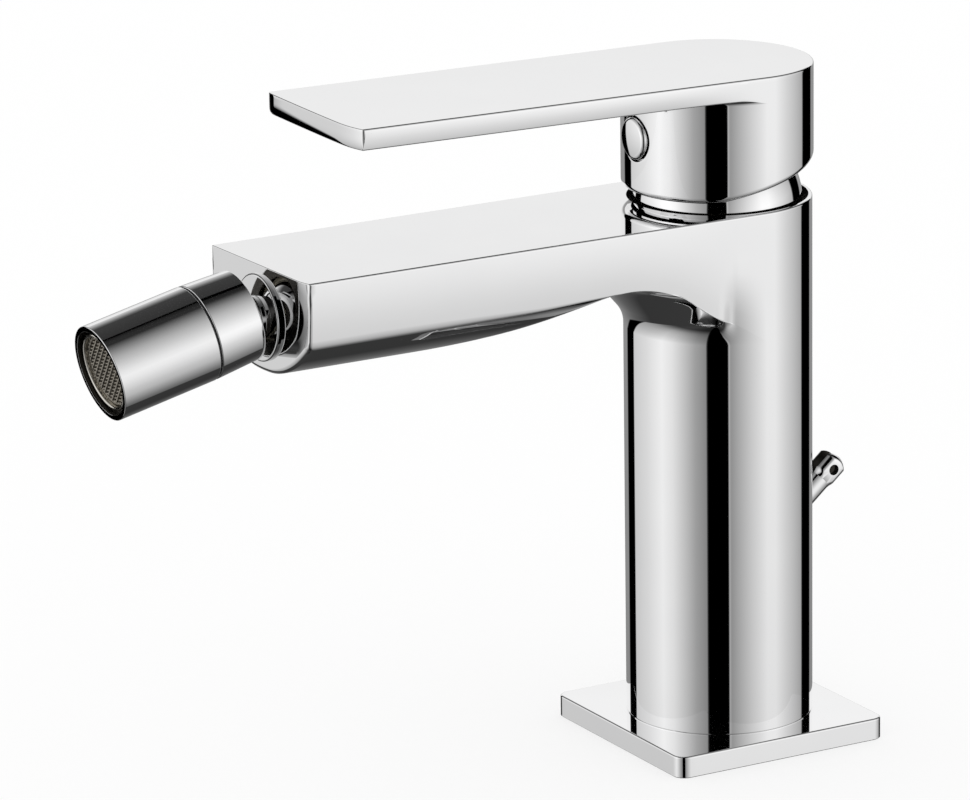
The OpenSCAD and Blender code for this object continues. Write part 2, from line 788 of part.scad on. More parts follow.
module handle_plug() {
    dome_rad = (pow(plug_r, 2) + pow(plug_dome, 2)) / (2 * plug_dome);
    rim = sqrt(pow(handle_r, 2) - pow(plug_r, 2)) - pocket_end;
    edge = asin(plug_r / dome_rad);
    color("silver")
        translate([0, -pocket_end, plug_z]) rotate([90, 0, 0])
            rotate_extrude()
                polygon(concat([[0, 0], [plug_r, 0]],
                    arc([0, rim + plug_dome - dome_rad], dome_rad, 90 - edge, 90)));
}

module ball_stud() {
    color("silver")
        difference() {
            union() {
                forward(spout_reach - stud_shank_l, stud_shank_l + flange_t, stud_shank_d / 2, stud_z);
                forward(spout_reach, flange_t, flange_d / 2, stud_z);
                forward(spout_reach, ball_reach, stud_neck_d / 2, stud_z);
                translate([0, -ball_y, stud_z]) sphere(r = ball_r);
            }
            forward(spout_reach - stud_shank_l - over, ball_reach + stud_shank_l + ball_d,
                stud_bore_d / 2, stud_z);
        }
}

module stud_oring() {
    color("black")
        translate([0, -spout_reach + oring_t / 2, stud_z]) rotate([90, 0, 0])
            rotate_extrude() translate([oring_d / 2, 0]) circle(d = oring_t);
}

// A spherical ball seat between two heights along the nozzle
module ball_seat(low, high) {
    in_nozzle()
        difference() {
            intersection() {
                sphere(r = seat_out_r);
                zone(low, high, seat_out_r);
            }
            sphere(r = seat_in_r);
        }
}

module ball_seat_rear() {
    color("ivory") ball_seat(-rear_seat_back, -rear_seat_front);
}

module ball_seat_front() {
    color("ivory") ball_seat(front_seat_back, front_seat_front);
}

module nozzle_cap() {
    color("silver")
        in_nozzle()
            difference() {
                translate([0, 0, -tail_l]) cylinder(r1 = nozzle_tail_d / 2, r2 = nozzle_r, h = cap_l);
                sphere(r = cavity_r);
                zone(0, cap_l, thread_r + slip);
            }
}

module nozzle_sleeve() {
    color("silver")
        in_nozzle()
            difference() {
                union() {
                    zone(sleeve_start, rim_l, nozzle_r);
                    zone(thread_start, sleeve_start, thread_r);
                }
                sphere(r = cavity_r);
                zone(0, chamber_start + over, passage_d / 2);
                zone(chamber_start, rim_l + over, chamber_r);
            }
}

module nozzle_ring() {
    color("black") in_nozzle() ring(groove_l, groove_w, nozzle_r - groove_h, thread_r + slip);
}

module aerator_washer() {
    color("black") in_nozzle() ring(chamber_start, washer_t, aerator_r, aerator_r - washer_w);
}

module aerator_housing() {
    color("silver")
        in_nozzle() {
            ring(aerator_start, aerator_end - aerator_start, aerator_r, aerator_r - aerator_wall);
            ring(diffuser_z - ledge_t, ledge_t, aerator_r, aerator_r - aerator_wall - ledge_w);
            ring(screen_l - ledge_t, ledge_t, aerator_r, aerator_r - aerator_wall - ledge_w);
        }
}

module aerator_diffuser() {
    color("white")
        in_nozzle()
            difference() {
                zone(diffuser_z, diffuser_z + diffuser_t, screen_r);
                for (i = [0 : diffuser_holes - 1])
                    rotate([0, 0, i * 360 / diffuser_holes])
                        translate([screen_r - ledge_w - diffuser_hole_d, 0, diffuser_z - over])
                            cylinder(d = diffuser_hole_d, h = diffuser_t + 2 * over);
            }
}

module aerator_screen() {
    count = floor(screen_r / screen_pitch);
    color("darkgray")
        in_nozzle() {
            ring(screen_l, screen_t, screen_r, screen_r - ledge_w);
            translate([0, 0, screen_l])
                linear_extrude(height = screen_t)
                    intersection() {
                        circle(r = screen_r - ledge_w / 2);
                        for (i = [-count : count]) {
                            translate([i * screen_pitch, 0]) square([wire_w, 2 * screen_r], center = true);
                            translate([0, i * screen_pitch]) square([2 * screen_r, wire_w], center = true);
                        }
                    }
        }
}

body();
base_plate();
base_gasket();
chain_stay();
cartridge_base();
port_seals();
cartridge_housing();
fixed_disc();
moving_disc();
disc_carrier();
turret();
spindle_pin();
spindle();
cartridge_nut();
collar();
handle();
grub_screw();
handle_plug();
ball_stud();
stud_oring();
ball_seat_rear();
ball_seat_front();
nozzle_cap();
nozzle_sleeve();
nozzle_ring();
aerator_washer();
aerator_housing();
aerator_diffuser();
aerator_screen();
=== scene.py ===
import math

import bmesh
import bpy
from mathutils import Matrix, Vector


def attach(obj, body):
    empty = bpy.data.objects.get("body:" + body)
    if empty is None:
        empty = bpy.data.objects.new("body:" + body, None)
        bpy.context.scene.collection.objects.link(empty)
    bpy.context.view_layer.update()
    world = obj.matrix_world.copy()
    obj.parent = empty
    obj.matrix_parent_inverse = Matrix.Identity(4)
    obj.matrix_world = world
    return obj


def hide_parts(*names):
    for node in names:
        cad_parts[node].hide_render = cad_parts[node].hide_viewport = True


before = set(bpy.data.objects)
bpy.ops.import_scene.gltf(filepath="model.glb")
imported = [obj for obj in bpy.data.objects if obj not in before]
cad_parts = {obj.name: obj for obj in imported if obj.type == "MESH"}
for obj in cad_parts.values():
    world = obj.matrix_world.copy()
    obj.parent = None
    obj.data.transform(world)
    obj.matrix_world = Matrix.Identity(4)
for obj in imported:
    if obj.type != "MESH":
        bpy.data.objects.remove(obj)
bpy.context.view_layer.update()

# The studio: a camera with a long lens, a pale table top and a light tent of white cloth.
# Dark gaps between the cloths stand beside the camera and behind the mixer, and only
# polished metal shows them. To the camera the tent is plain white.
MM = 0.001
CAMERA_TURN = math.radians(60.48)
CAMERA_TILT = math.radians(15.89)
CAMERA_ROLL = math.radians(-0.85)
CAMERA_PLACE = Vector((1202.6, -743.5, 483.3)) * MM
IMAGE_WIDTH_PX = 970
FOCAL_PX = 6290.18
SENSOR_MM = 36
FAR_START = 147
FAR_FULL = 149
FAR_WIDENS_BELOW = -28
FAR_WIDENS = 0.65


class Shade:
    """One output of a shader tree, so that shader maths reads as plain expressions."""

    def __init__(self, tree, socket=None):
        self.tree = tree
        self.socket = socket

    def node(self, kind, settings=None, inputs=None, out=0):
        made = self.tree.nodes.new(kind)
        for name, value in (settings or {}).items():
            if name == "stops":
                ramp = made.color_ramp
                while len(ramp.elements) < len(value):
                    ramp.elements.new(1)
                for stop, (place, level) in zip(ramp.elements, value):
                    stop.position = place
                    stop.color = (level, level, level, 1)
            else:
                setattr(made, name, value)
        for name, value in (inputs or {}).items():
            if isinstance(value, Shade):
                self.tree.links.new(value.socket, made.inputs[name])
            else:
                made.inputs[name].default_value = value
        return Shade(self.tree, made.outputs[out] if made.outputs else None)

    def sum(self, operation, first, second=0.0):
        return self.node("ShaderNodeMath", {"operation": operation}, {0: first, 1: second})

    def __add__(self, other):
        return self.sum("ADD", self, other)

    def __radd__(self, other):
        return self.sum("ADD", other, self)

    def __sub__(self, other):
        return self.sum("SUBTRACT", self, other)

    def __rsub__(self, other):
        return self.sum("SUBTRACT", other, self)

    def __mul__(self, other):
        return self.sum("MULTIPLY", self, other)

    def __rmul__(self, other):
        return self.sum("MULTIPLY", other, self)

    def __truediv__(self, other):
        return self.sum("DIVIDE", self, other)

    def __rtruediv__(self, other):
        return self.sum("DIVIDE", other, self)


def blend_numbers(share, low, high):
    return low + share * (high - low)


def turn_stops(stops):
    return [((degrees + 180) / 360, level) for degrees, level in stops]


def height_stops(stops):
    return [((degrees + 90) / 180, level) for degrees, level in stops]


sight = Vector((
    -math.sin(CAMERA_TURN) * math.cos(CAMERA_TILT),
    math.cos(CAMERA_TURN) * math.cos(CAMERA_TILT),
    -math.sin(CAMERA_TILT)))
level_right = Vector((math.cos(CAMERA_TURN), math.sin(CAMERA_TURN), 0))
level_up = level_right.cross(sight)
rolled_right = level_right * math.cos(CAMERA_ROLL) + level_up * math.sin(CAMERA_ROLL)
rolled_up = level_up * math.cos(CAMERA_ROLL) - level_right * math.sin(CAMERA_ROLL)
camera_data = bpy.data.cameras.new("studio_camera")
camera_data.sensor_width = SENSOR_MM
camera_data.lens = FOCAL_PX * SENSOR_MM / IMAGE_WIDTH_PX
camera_data.clip_end = 50
camera = bpy.data.objects.new("studio_camera", camera_data)
camera.matrix_world = Matrix.Translation(CAMERA_PLACE) @ Matrix(
    (rolled_right, rolled_up, -sight)).transposed().to_4x4()
bpy.context.collection.objects.link(camera)
bpy.context.scene.camera = camera
bpy.context.scene.view_settings.view_transform = "Standard"

tent = bpy.data.worlds.new("light_tent")
tent.use_nodes = True
tent.node_tree.nodes.clear()
bpy.context.scene.world = tent
air = Shade(tent.node_tree)
direction = air.node("ShaderNodeTexCoord", out="Generated")
ray = air.node("ShaderNodeSeparateXYZ", inputs={0: direction})
ray_x = ray
ray_y = Shade(ray.tree, ray.socket.node.outputs["Y"])
ray_z = Shade(ray.tree, ray.socket.node.outputs["Z"])
towards_camera = ray_x * math.sin(CAMERA_TURN) - ray_y * math.cos(CAMERA_TURN)
towards_right = ray_x * math.cos(CAMERA_TURN) + ray_y * math.sin(CAMERA_TURN)
turn = air.sum("ARCTAN2", towards_right, towards_camera)
turn_share = turn / math.tau + 0.5
height_share = air.sum("ARCSINE", ray_z) / math.pi + 0.5
walls = air.node("ShaderNodeValToRGB", {"stops": turn_stops((
    (-150, 0.0), (-127.6, 0.0), (-126.9, 0.61), (-100, 0.73), (-75, 0.9), (-60, 0.79), (-30, 0.36),
    (-16.2, 0.25), (-15.4, 0.0), (10.4, 0.0), (11.2, 0.45), (13, 0.29), (40, 0.62), (60, 0.84),
    (72, 0.84), (90, 0.65), (120, 0.38), (121.5, 0.0), (150, 0.0)))}, {0: turn_share})
wall_light = air.node("ShaderNodeValToRGB", {"stops": height_stops((
    (-90, 0.05), (-66, 0.05), (-62, 0.12), (-57, 0.24), (-51, 0.41), (-42, 0.57), (-32, 0.7),
    (-22, 0.87), (-16, 1.0), (-8, 1.15), (0, 1.25), (10, 1.18), (21, 1.02), (43, 0.65), (55, 0.4),
    (66, 0.17), (74, 0.03), (90, 0.03)))}, {0: height_share})
far_side = air.node("ShaderNodeValToRGB", {"stops": height_stops((
    (-90, 0.04), (-50, 0.035), (-36, 0.11), (-19, 0.25), (-4, 0.36), (3, 0.74), (13, 0.88),
    (15, 0.85), (19.5, 0.94), (23, 0.62), (32, 0.36), (40, 0.15), (46, 0.05),
    (90, 0.03)))}, {0: height_share})
low_share = (FAR_WIDENS_BELOW + 90) / 180
lower = air.sum("MAXIMUM", low_share - height_share, 0.0)
away = air.sum("ABSOLUTE", turn_share - 0.5) + FAR_WIDENS * lower
behind = air.node("ShaderNodeValToRGB", {"stops": (
    (FAR_START / 360, 0.0), (FAR_FULL / 360, 1.0))}, {0: away})
in_metal = blend_numbers(behind, walls * wall_light, far_side)
light_path = air.node("ShaderNodeLightPath", out="Is Glossy Ray")
transmitted = Shade(light_path.tree, light_path.socket.node.outputs["Is Transmission Ray"])
shown = air.sum("MAXIMUM", light_path, transmitted)
tent_light = blend_numbers(shown, 1.0, in_metal)
tent_cloth = air.node("ShaderNodeBackground", inputs={"Color": tent_light, "Strength": 1.0})
air.node("ShaderNodeOutputWorld", inputs={"Surface": tent_cloth})

TABLE_HALF = 6000
TABLE_CELLS = 24
PAPER_GLOW = 0.7
table_mesh = bpy.data.meshes.new("pale_table")
table_shape = bmesh.new()
for row in range(TABLE_CELLS + 1):
    for column in range(TABLE_CELLS + 1):
        place = Vector((2 * column / TABLE_CELLS - 1, 2 * row / TABLE_CELLS - 1, 0))
        table_shape.verts.new(place * TABLE_HALF * MM)
table_shape.verts.ensure_lookup_table()
for row in range(TABLE_CELLS):
    for column in range(TABLE_CELLS):
        near = row * (TABLE_CELLS + 1) + column
        far = near + TABLE_CELLS + 1
        table_shape.faces.new([table_shape.verts[index] for index in (near, near + 1, far + 1, far)])
table_shape.to_mesh(table_mesh)
table_shape.free()
table = bpy.data.objects.new("pale_table", table_mesh)
bpy.context.collection.objects.link(table)
table.visible_glossy = False
paper = bpy.data.materials.new("white_paper")
paper.use_nodes = True
paper.node_tree.nodes.clear()
sheet = Shade(paper.node_tree)
fibres = sheet.node("ShaderNodeTexNoise", inputs={"Scale": 40.0, "Detail": 4.0})
paper_colour = sheet.node("ShaderNodeMix", {"data_type": "RGBA"}, {
    0: fibres, 6: (0.985, 0.985, 0.985, 1), 7: (1.0, 1.0, 1.0, 1)}, out=2)
shaded = sheet.node("ShaderNodeBsdfDiffuse", inputs={"Color": paper_colour})
plain = sheet.node("ShaderNodeEmission", inputs={"Color": (1, 1, 1, 1), "Strength": 1.0})
camera_ray = sheet.node("ShaderNodeLightPath", out="Is Camera Ray")
lit_paper = sheet.node("ShaderNodeMixShader", inputs={0: camera_ray * PAPER_GLOW, 1: shaded, 2: plain})
sheet.node("ShaderNodeOutputMaterial", inputs={"Surface": lit_paper})
table_mesh.materials.append(paper)

# The base plate is a square cover plate, sawn from brass bar, ground flat and chromed.
# The column's spigot goes through it, and a rubber ring lies in a groove under it.
# It rests on the deck and the column clamps it.
PLATE_HALF = 28.3
PLATE_T = 5.2
PLATE_CORNER = 3.0
PLATE_EDGE = 0.45
PLATE_FOOT = 0.2
SPIGOT_R = 19.2
SPIGOT_GAP = 0.05
GASKET_IN = 22.7
GASKET_OUT = 25.3
GASKET_T = 1.5


def build_piece(name, patches, weld=0.003, crease=38):
    """One mesh from grids of points in millimetres; grids that meet are welded."""
    shape = bmesh.new()
    for rows in patches:
        grid = [[shape.verts.new(Vector(point) * MM) for point in row] for row in rows]
        for near, far in zip(grid, grid[1:]):
            for corner in zip(near, near[1:], far[1:], far):
                shape.faces.new(corner)
    bmesh.ops.remove_doubles(shape, verts=shape.verts, dist=weld * MM)
    bmesh.ops.dissolve_degenerate(shape, edges=shape.edges, dist=weld * MM / 10)
    bmesh.ops.recalc_face_normals(shape, faces=shape.faces)
    mesh = bpy.data.meshes.new(name)
    shape.to_mesh(mesh)
    shape.free()
    mesh.shade_smooth()
    mesh.set_sharp_from_angle(angle=math.radians(crease))
    piece = bpy.data.objects.new(name, mesh)
    bpy.context.collection.objects.link(piece)
    even = piece.modifiers.new("flat_faces_stay_flat", "WEIGHTED_NORMAL")
    even.keep_sharp = True
    return piece


def chromed(name, light=0.965, dark=0.928, rough=0.012):
    """Bright chrome on polished brass, with the faint cloudiness of hand polishing."""
    finish = bpy.data.materials.new(name)
    finish.use_nodes = True
    finish.node_tree.nodes.clear()
    metal = Shade(finish.node_tree)
    place = metal.node("ShaderNodeTexCoord", out="Object")
    clouds = metal.node("ShaderNodeTexNoise", inputs={
        "Vector": place, "Scale": 55.0, "Detail": 3.0})
    polish = metal.node("ShaderNodeTexNoise", inputs={
        "Vector": place, "Scale": 800.0, "Detail": 2.0})
    colour = metal.node("ShaderNodeMix", {"data_type": "RGBA"}, {
        0: clouds, 6: (dark, dark, dark * 1.006, 1), 7: (light, light, light, 1)}, out=2)
    roughness = rough + 0.016 * clouds + 0.008 * polish
    shell = metal.node("ShaderNodeBsdfPrincipled", inputs={
        "Base Color": colour, "Metallic": 1.0, "Roughness": roughness})
    metal.node("ShaderNodeOutputMaterial", inputs={"Surface": shell})
    return finish


def plate_ring(inset, height):
    """The plate's outline, drawn in by an inset, as a closed ring of points."""
    ring = []
    straight = PLATE_HALF - PLATE_CORNER
    bend = max(PLATE_CORNER - inset, 0)
    for side in range(4):
        turned = Matrix.Rotation(side * math.pi / 2, 3, "Z")
        for step in range(24):
            ring.append(turned @ Vector((straight + bend, straight * (step / 12 - 1), height)))
        for step in range(8):
            angle = step / 8 * math.pi / 2
            ring.append(turned @ Vector((
                straight + bend * math.cos(angle), straight + bend * math.sin(angle), height)))
    return ring + ring[:1]


def round_ring(radius, height, like):
    """A round ring with one point for each point of another ring, at the same bearing."""
    return [Vector((point[0], point[1], 0)).normalized() * radius + Vector((0, 0, height))
            for point in like]


outline = plate_ring(0, 0)
plate_rows = [
    round_ring(SPIGOT_R + SPIGOT_GAP, 0, outline),
    round_ring(GASKET_IN, 0, outline),
    round_ring(GASKET_IN, GASKET_T, outline),
    round_ring(GASKET_OUT, GASKET_T, outline),
    round_ring(GASKET_OUT, 0, outline),
    plate_ring(PLATE_FOOT, 0),
    plate_ring(0, PLATE_FOOT)]
for step in range(7):
    angle = step / 6 * math.pi / 2
    plate_rows.append(plate_ring(
        PLATE_EDGE * (1 - math.cos(angle)), PLATE_T - PLATE_EDGE * (1 - math.sin(angle))))
plate_rows.append(round_ring(SPIGOT_R + SPIGOT_GAP, PLATE_T, outline))
plate_rows.append(plate_rows[0])
plate = build_piece("square_plate", [plate_rows])
bright_chrome = chromed("bright_chrome")
plate.data.materials.append(bright_chrome)
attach(plate, "tap_body")
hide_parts("base_plate")

# The sealing ring under the plate is cut from black rubber and lies in the plate's groove.
# The rubber is matt with a fine pebbled skin.


def rubber(name, scale=1800.0):
    """Black moulded rubber with a fine pebbled skin."""
    finish = bpy.data.materials.new(name)
    finish.use_nodes = True
    finish.node_tree.nodes.clear()
    skin = Shade(finish.node_tree)
    place = skin.node("ShaderNodeTexCoord", out="Object")
    pebble = skin.node("ShaderNodeTexNoise", inputs={"Vector": place, "Scale": scale, "Detail": 3.0})
    dust = skin.node("ShaderNodeTexNoise", inputs={"Vector": place, "Scale": scale / 12})
    colour = skin.node("ShaderNodeMix", {"data_type": "RGBA"}, {
        0: dust, 6: (0.012, 0.012, 0.013, 1), 7: (0.032, 0.032, 0.034, 1)}, out=2)
    bump = skin.node("ShaderNodeBump", inputs={
        "Strength": 0.25, "Distance": 0.00005, "Height": pebble})
    body = skin.node("ShaderNodeBsdfPrincipled", inputs={
        "Base Color": colour, "Roughness": 0.45 + 0.2 * pebble, "Normal": bump})
    skin.node("ShaderNodeOutputMaterial", inputs={"Surface": body})
    return finish


black_rubber = rubber("black_rubber")


def finish_nodes(finish, *names):
    """Gives carried-over CAD pieces their finish."""
    for name in names:
        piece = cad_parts[name]
        piece.data.materials.clear()
        piece.data.materials.append(finish)


finish_nodes(black_rubber, "base_gasket", "port_seals", "stud_oring", "aerator_washer")

# The body is one brass casting, ground, polished and chromed: an upright column, a flat spout
# with a round belly, and an arched root between them. It is bored from above for the
# cartridge and from below for the hoses, and its spigot stands in the plate.
COLUMN_R = 22.0
BODY_TOP = 130.0
SPOUT_END = 119.9
SPOUT_SKEW = 0.7
END_SAG = 0.7
END_SAG_WIDTH = 4.6
SPOUT_END_HALF = 21.5
BELLY_R = 27.1
BELLY_Z = 133.0
BELLY_LOW = 105.9
ARCH_R = 160.0
ARCH_OUT = 102.0
ARCH_Z = 265.9
ROOT_R = 20.0
ROOT_STEPS = 60
ROOT_OUT = COLUMN_R + ROOT_R
ROOT_Z = ARCH_Z - math.sqrt((ARCH_R + ROOT_R) ** 2 - (ARCH_OUT - ROOT_OUT) ** 2)
ROOT_SWEEP = math.pi - math.atan2(ARCH_Z - ROOT_Z, ARCH_OUT - ROOT_OUT)
ROOT_END = ROOT_OUT + ROOT_R * math.cos(math.pi - ROOT_SWEEP)
FOOT_R = 8.5
FOOT_TURN = math.radians(40)
FOOT_Z = 99.5
FOOT_REACH = FOOT_R * (1 - math.cos(FOOT_TURN))
CROWN_REACH = 6.0
CROWN_SOFT = 0.8
CREASE_END = math.radians(60)
CREASE_FADE = math.radians(8)
CREASE_TOP = 117.0
SIDE_CREST = 127.0
SIDE_BEND = 0.0055
TOP_EDGE = 0.5
END_EDGE = 1.3
END_TOP_EDGE = 0.2
END_ROOM = 3.0
END_SPLIT = 11
END_CORNER = 0.5
BELLY_DROP = 0.6
RECESS_R = 19.8
RECESS_RIM_R = 21.1
RECESS_RIM_Z = 127.6
RECESS_Z = 125.5
THREAD_R = 18.25
SHOULDER_Z = 121.5
CHAMBER_R = 17.55
SEAT_Z = 100.0
WELL_R = 17.5
WELL_Z = 86.0
FOOT_EDGE = 0.3


def ease(share):
    share = min(max(share, 0), 1)
    return share * share * (3 - 2 * share)


def softer_top(first, second, width):
    """The higher of two heights, with the crease between them rounded off."""
    near = max(width - abs(first - second), 0) / width
    return max(first, second) + near * near * width / 4


def root_height(out):
    """Height of the arched root: a tight foot on the column, a straight rise and a round top."""
    step = out - COLUMN_R
    if step < FOOT_REACH:
        return FOOT_Z + math.sqrt(max(FOOT_R ** 2 - (FOOT_R - step) ** 2, 0))
    rise = FOOT_Z + FOOT_R * math.sin(FOOT_TURN) + (step - FOOT_REACH) / math.tan(FOOT_TURN)
    if step < CROWN_REACH:
        return rise
    crown = ROOT_Z + math.sqrt(ROOT_R ** 2 - (ROOT_R - step) ** 2)
    return -softer_top(-rise, -crown, CROWN_SOFT)


def run_out(point, half):
    """A point of the root: beside the column its crease is ground away into the flat side."""
    bearing = math.atan2(point.x, -point.y)
    share = ease((bearing - CREASE_END) / CREASE_FADE)
    if share == 0 or point.z > CREASE_TOP:
        return point
    rise = ease((point.z - FOOT_Z) / (CREASE_TOP - FOOT_Z))
    smooth = COLUMN_R + (half / math.sin(bearing) - COLUMN_R) * rise
    scale = 1 + share * (smooth / math.hypot(point.x, point.y) - 1)
    return Vector((point.x * scale, point.y * scale, point.z))


def under_spout(x, y):
    """Height of the spout's underside above the deck."""
    out = math.hypot(x, y)
    if out < ROOT_END:
        arch = root_height(out)
    elif out < ARCH_OUT:
        arch = ARCH_Z - math.sqrt(ARCH_R ** 2 - (ARCH_OUT - out) ** 2)
    else:
        arch = BELLY_LOW
    root_share = 9 * (1 - ease((out - 30) / 16)) + 60 * (1 - ease((out - COLUMN_R) / 14))
    belly = BELLY_Z - math.sqrt(BELLY_R ** 2 - x * x) - root_share
    return softer_top(arch, belly, 0.6) - BELLY_DROP * ease((out - 44) / 22)


def spout_section(out, y_mid, y_side):
    """Right half of the spout's skin across one station, from its top edge to its middle."""
    share = -y_side / SPOUT_END
    bend = SIDE_BEND * ease(share / 0.35)
    half = COLUMN_R + (SPOUT_END_HALF - COLUMN_R) * share
    low_half = half - bend * (SIDE_CREST - 116) ** 2

    def below(angle):
        x = low_half * math.sin(angle)
        y = y_mid + (y_side - y_mid) * math.sin(angle) ** 2
        if out:
            y = -math.sqrt(max(out * out - x * x, 0))
        return Vector((x, y, under_spout(x, y)))

    def side_x(z):
        return half - bend * (z - SIDE_CREST) ** 2

    setback = 0.2 * ease(share / 0.06) + 1.3 * ease((share - 0.3) / 0.55)
    angle = math.pi / 2
    edge = below(angle)
    inner = edge
    walked = 0.0
    while walked < setback:
        angle -= math.radians(0.1)
        point = below(angle)
        walked += (point - inner).length
        inner = point
    start_z = edge.z + setback
    start = Vector((side_x(start_z), edge.y, start_z))
    outward = inner - below(angle - math.radians(0.3))
    lean = 2 * bend * (SIDE_CREST - start_z)
    spread = outward.x - lean * outward.z
    corner = edge
    if -y_side > 24 and spread > 1e-5:
        reach = (start.x - inner.x - lean * (start.z - inner.z)) / spread
        corner = inner + outward * reach
    points = []
    for step in range(7):
        sweep = step / 6 * math.pi / 2
        z = BODY_TOP - TOP_EDGE * (1 - math.cos(sweep))
        x = side_x(BODY_TOP - TOP_EDGE) - TOP_EDGE * (1 - math.sin(sweep))
        points.append(Vector((x, edge.y, z)))
    for step in range(1, 9):
        z = BODY_TOP - TOP_EDGE + (start_z - BODY_TOP + TOP_EDGE) * step / 8
        points.append(Vector((side_x(z), edge.y, z)))
    for step in range(1, 10):
        t = step / 9
        points.append(start * (1 - t) ** 2 + corner * (2 * t * (1 - t)) + inner * t ** 2)
    for step in range(1, 33):
        points.append(below(angle * (1 - step / 32)))
    if out:
        points = [run_out(point, half) for point in points]
    return points


def turned_metal(name, light, dark, rough, stretch=(1.0, 1.0, 14.0)):
    """Bare machined metal with fine tool rings round its axis."""
    finish = bpy.data.materials.new(name)
    finish.use_nodes = True
    finish.node_tree.nodes.clear()
    metal = Shade(finish.node_tree)
    place = metal.node("ShaderNodeTexCoord", out="Object")
    drawn = metal.node("ShaderNodeVectorMath", {"operation": "MULTIPLY"}, {0: place, 1: stretch})
    rings = metal.node("ShaderNodeTexNoise", inputs={"Vector": drawn, "Scale": 420.0, "Detail": 3.0})
    colour = metal.node("ShaderNodeMix", {"data_type": "RGBA"}, {0: rings, 6: dark, 7: light}, out=2)
    shell = metal.node("ShaderNodeBsdfPrincipled", inputs={
        "Base Color": colour, "Metallic": 1.0, "Roughness": rough + 0.15 * rings})
    metal.node("ShaderNodeOutputMaterial", inputs={"Surface": shell})
    return finish


def mirrored(half):
    """The other half of a section, from its middle back to its top edge."""
    return [Vector((-point[0], point[1], point[2])) for point in reversed(half[:-1])]


def closed_end(ring, half_count, draw_in, front, steps=8):
    """Rounds a section's edge forward, the way draw_in says, and closes it with a smooth face."""
    count = len(ring) - 1
    rows = [ring]
    leans = []
    for index in range(len(ring)):
        along = ring[(index + 1) % count] - ring[(index - 1) % count]
        leans.append(Vector((-along.z, 0, along.x)).normalized())
    for step in range(steps + 1):
        sweep = step / steps * math.pi / 2
        rows.append([draw_in(point, lean, sweep) for point, lean in zip(ring, leans)])
    rim = rows[-1]
    lower = rim[END_SPLIT:half_count - END_SPLIT]
    upper = rim[half_count - END_SPLIT - 1:] + rim[1:END_SPLIT + 1]
    face = []
    for share in (0, 0.2, 0.4, 0.6, 0.8, 1):
        level = [low.lerp(high, share) for low, high in zip(lower, reversed(upper))]
        face.append([Vector((point.x, front(point), point.z)) for point in level])
    return rows, face


def top_edge(tip):
    """The straight top of an end section, with as many points as the face behind it needs."""
    steps = len(tip) - 4 * END_SPLIT - 1
    return [tip[-1] + (tip[0] - tip[-1]) * step / steps for step in range(1, steps + 1)]


stations = []
for step in range(ROOT_STEPS + 1):
    out = ROOT_OUT + ROOT_R * math.cos(math.pi - ROOT_SWEEP * step / ROOT_STEPS)
    half = COLUMN_R
    for settle in range(3):
        side = math.sqrt(max(out * out - half * half, 0))
        half = COLUMN_R + (SPOUT_END_HALF - COLUMN_R) * side / SPOUT_END
    stations.append((out, -out, -side))
root_sag = stations[-1][2] - stations[-1][1]
last_y = END_ROOM - SPOUT_END
for step in range(1, 41):
    y = -ROOT_END + (last_y + ROOT_END) * step / 40
    stations.append((0, y, y + root_sag * (1 - ease(step / 22))))
halves = [spout_section(*station) for station in stations]
spout_rows = [half + mirrored(half) for half in halves]
BACK_STEPS = 72
back_rows = []
for step in range(BACK_STEPS + 1):
    spin = Matrix.Rotation(math.pi * step / BACK_STEPS, 3, "Z")
    back_rows.append([spin @ point for point in halves[0][:15]])
foot_ring = list(reversed(spout_rows[0][23:-23])) + [row[14] for row in back_rows[1:]]
column_rows = [foot_ring]
for height in (80, 60, 40, 20, PLATE_T + FOOT_EDGE):
    column_rows.append(round_ring(COLUMN_R, height, foot_ring))
column_rows.append(round_ring(COLUMN_R - FOOT_EDGE / 2, PLATE_T, foot_ring))
column_rows.append(round_ring(SPIGOT_R, PLATE_T, foot_ring))
column_rows.append(round_ring(SPIGOT_R, 0, foot_ring))
column_rows.append(round_ring(WELL_R, 0, foot_ring))
column_rows.append(round_ring(WELL_R, WELL_Z, foot_ring))
column_rows.append([Vector((0, 0, WELL_Z))] * len(foot_ring))
tip = spout_rows[-1]
tip_top = top_edge(tip)


def spout_front(point):
    """The spout's end face in plan: a little skew, drawn back near its right edge, corners rounded."""
    local_half = SPOUT_END_HALF - SIDE_BEND * (max(point.z, 112) - SIDE_CREST) ** 2
    place = min(max(point.x / local_half, -1), 1) * SPOUT_END_HALF
    sag = END_SAG * max(1 - (SPOUT_END_HALF - place) / END_SAG_WIDTH, 0) ** 2
    over = max(abs(place) - SPOUT_END_HALF + END_CORNER, 0)
    corner = END_CORNER - math.sqrt(END_CORNER ** 2 - over ** 2)
    return SPOUT_SKEW * place / SPOUT_END_HALF + sag + corner - SPOUT_END


def spout_edge(point, lean, sweep):
    """The spout's end edge: nearly sharp along the top and soft along the belly."""
    own = END_TOP_EDGE * lean.z ** 2 if lean.z > 0 else END_EDGE * min(-1.6 * lean.z, 1)
    drawn = point - lean * own * (1 - math.cos(sweep))
    drawn.y = spout_front(drawn) + own * (1 - math.sin(sweep))
    return drawn


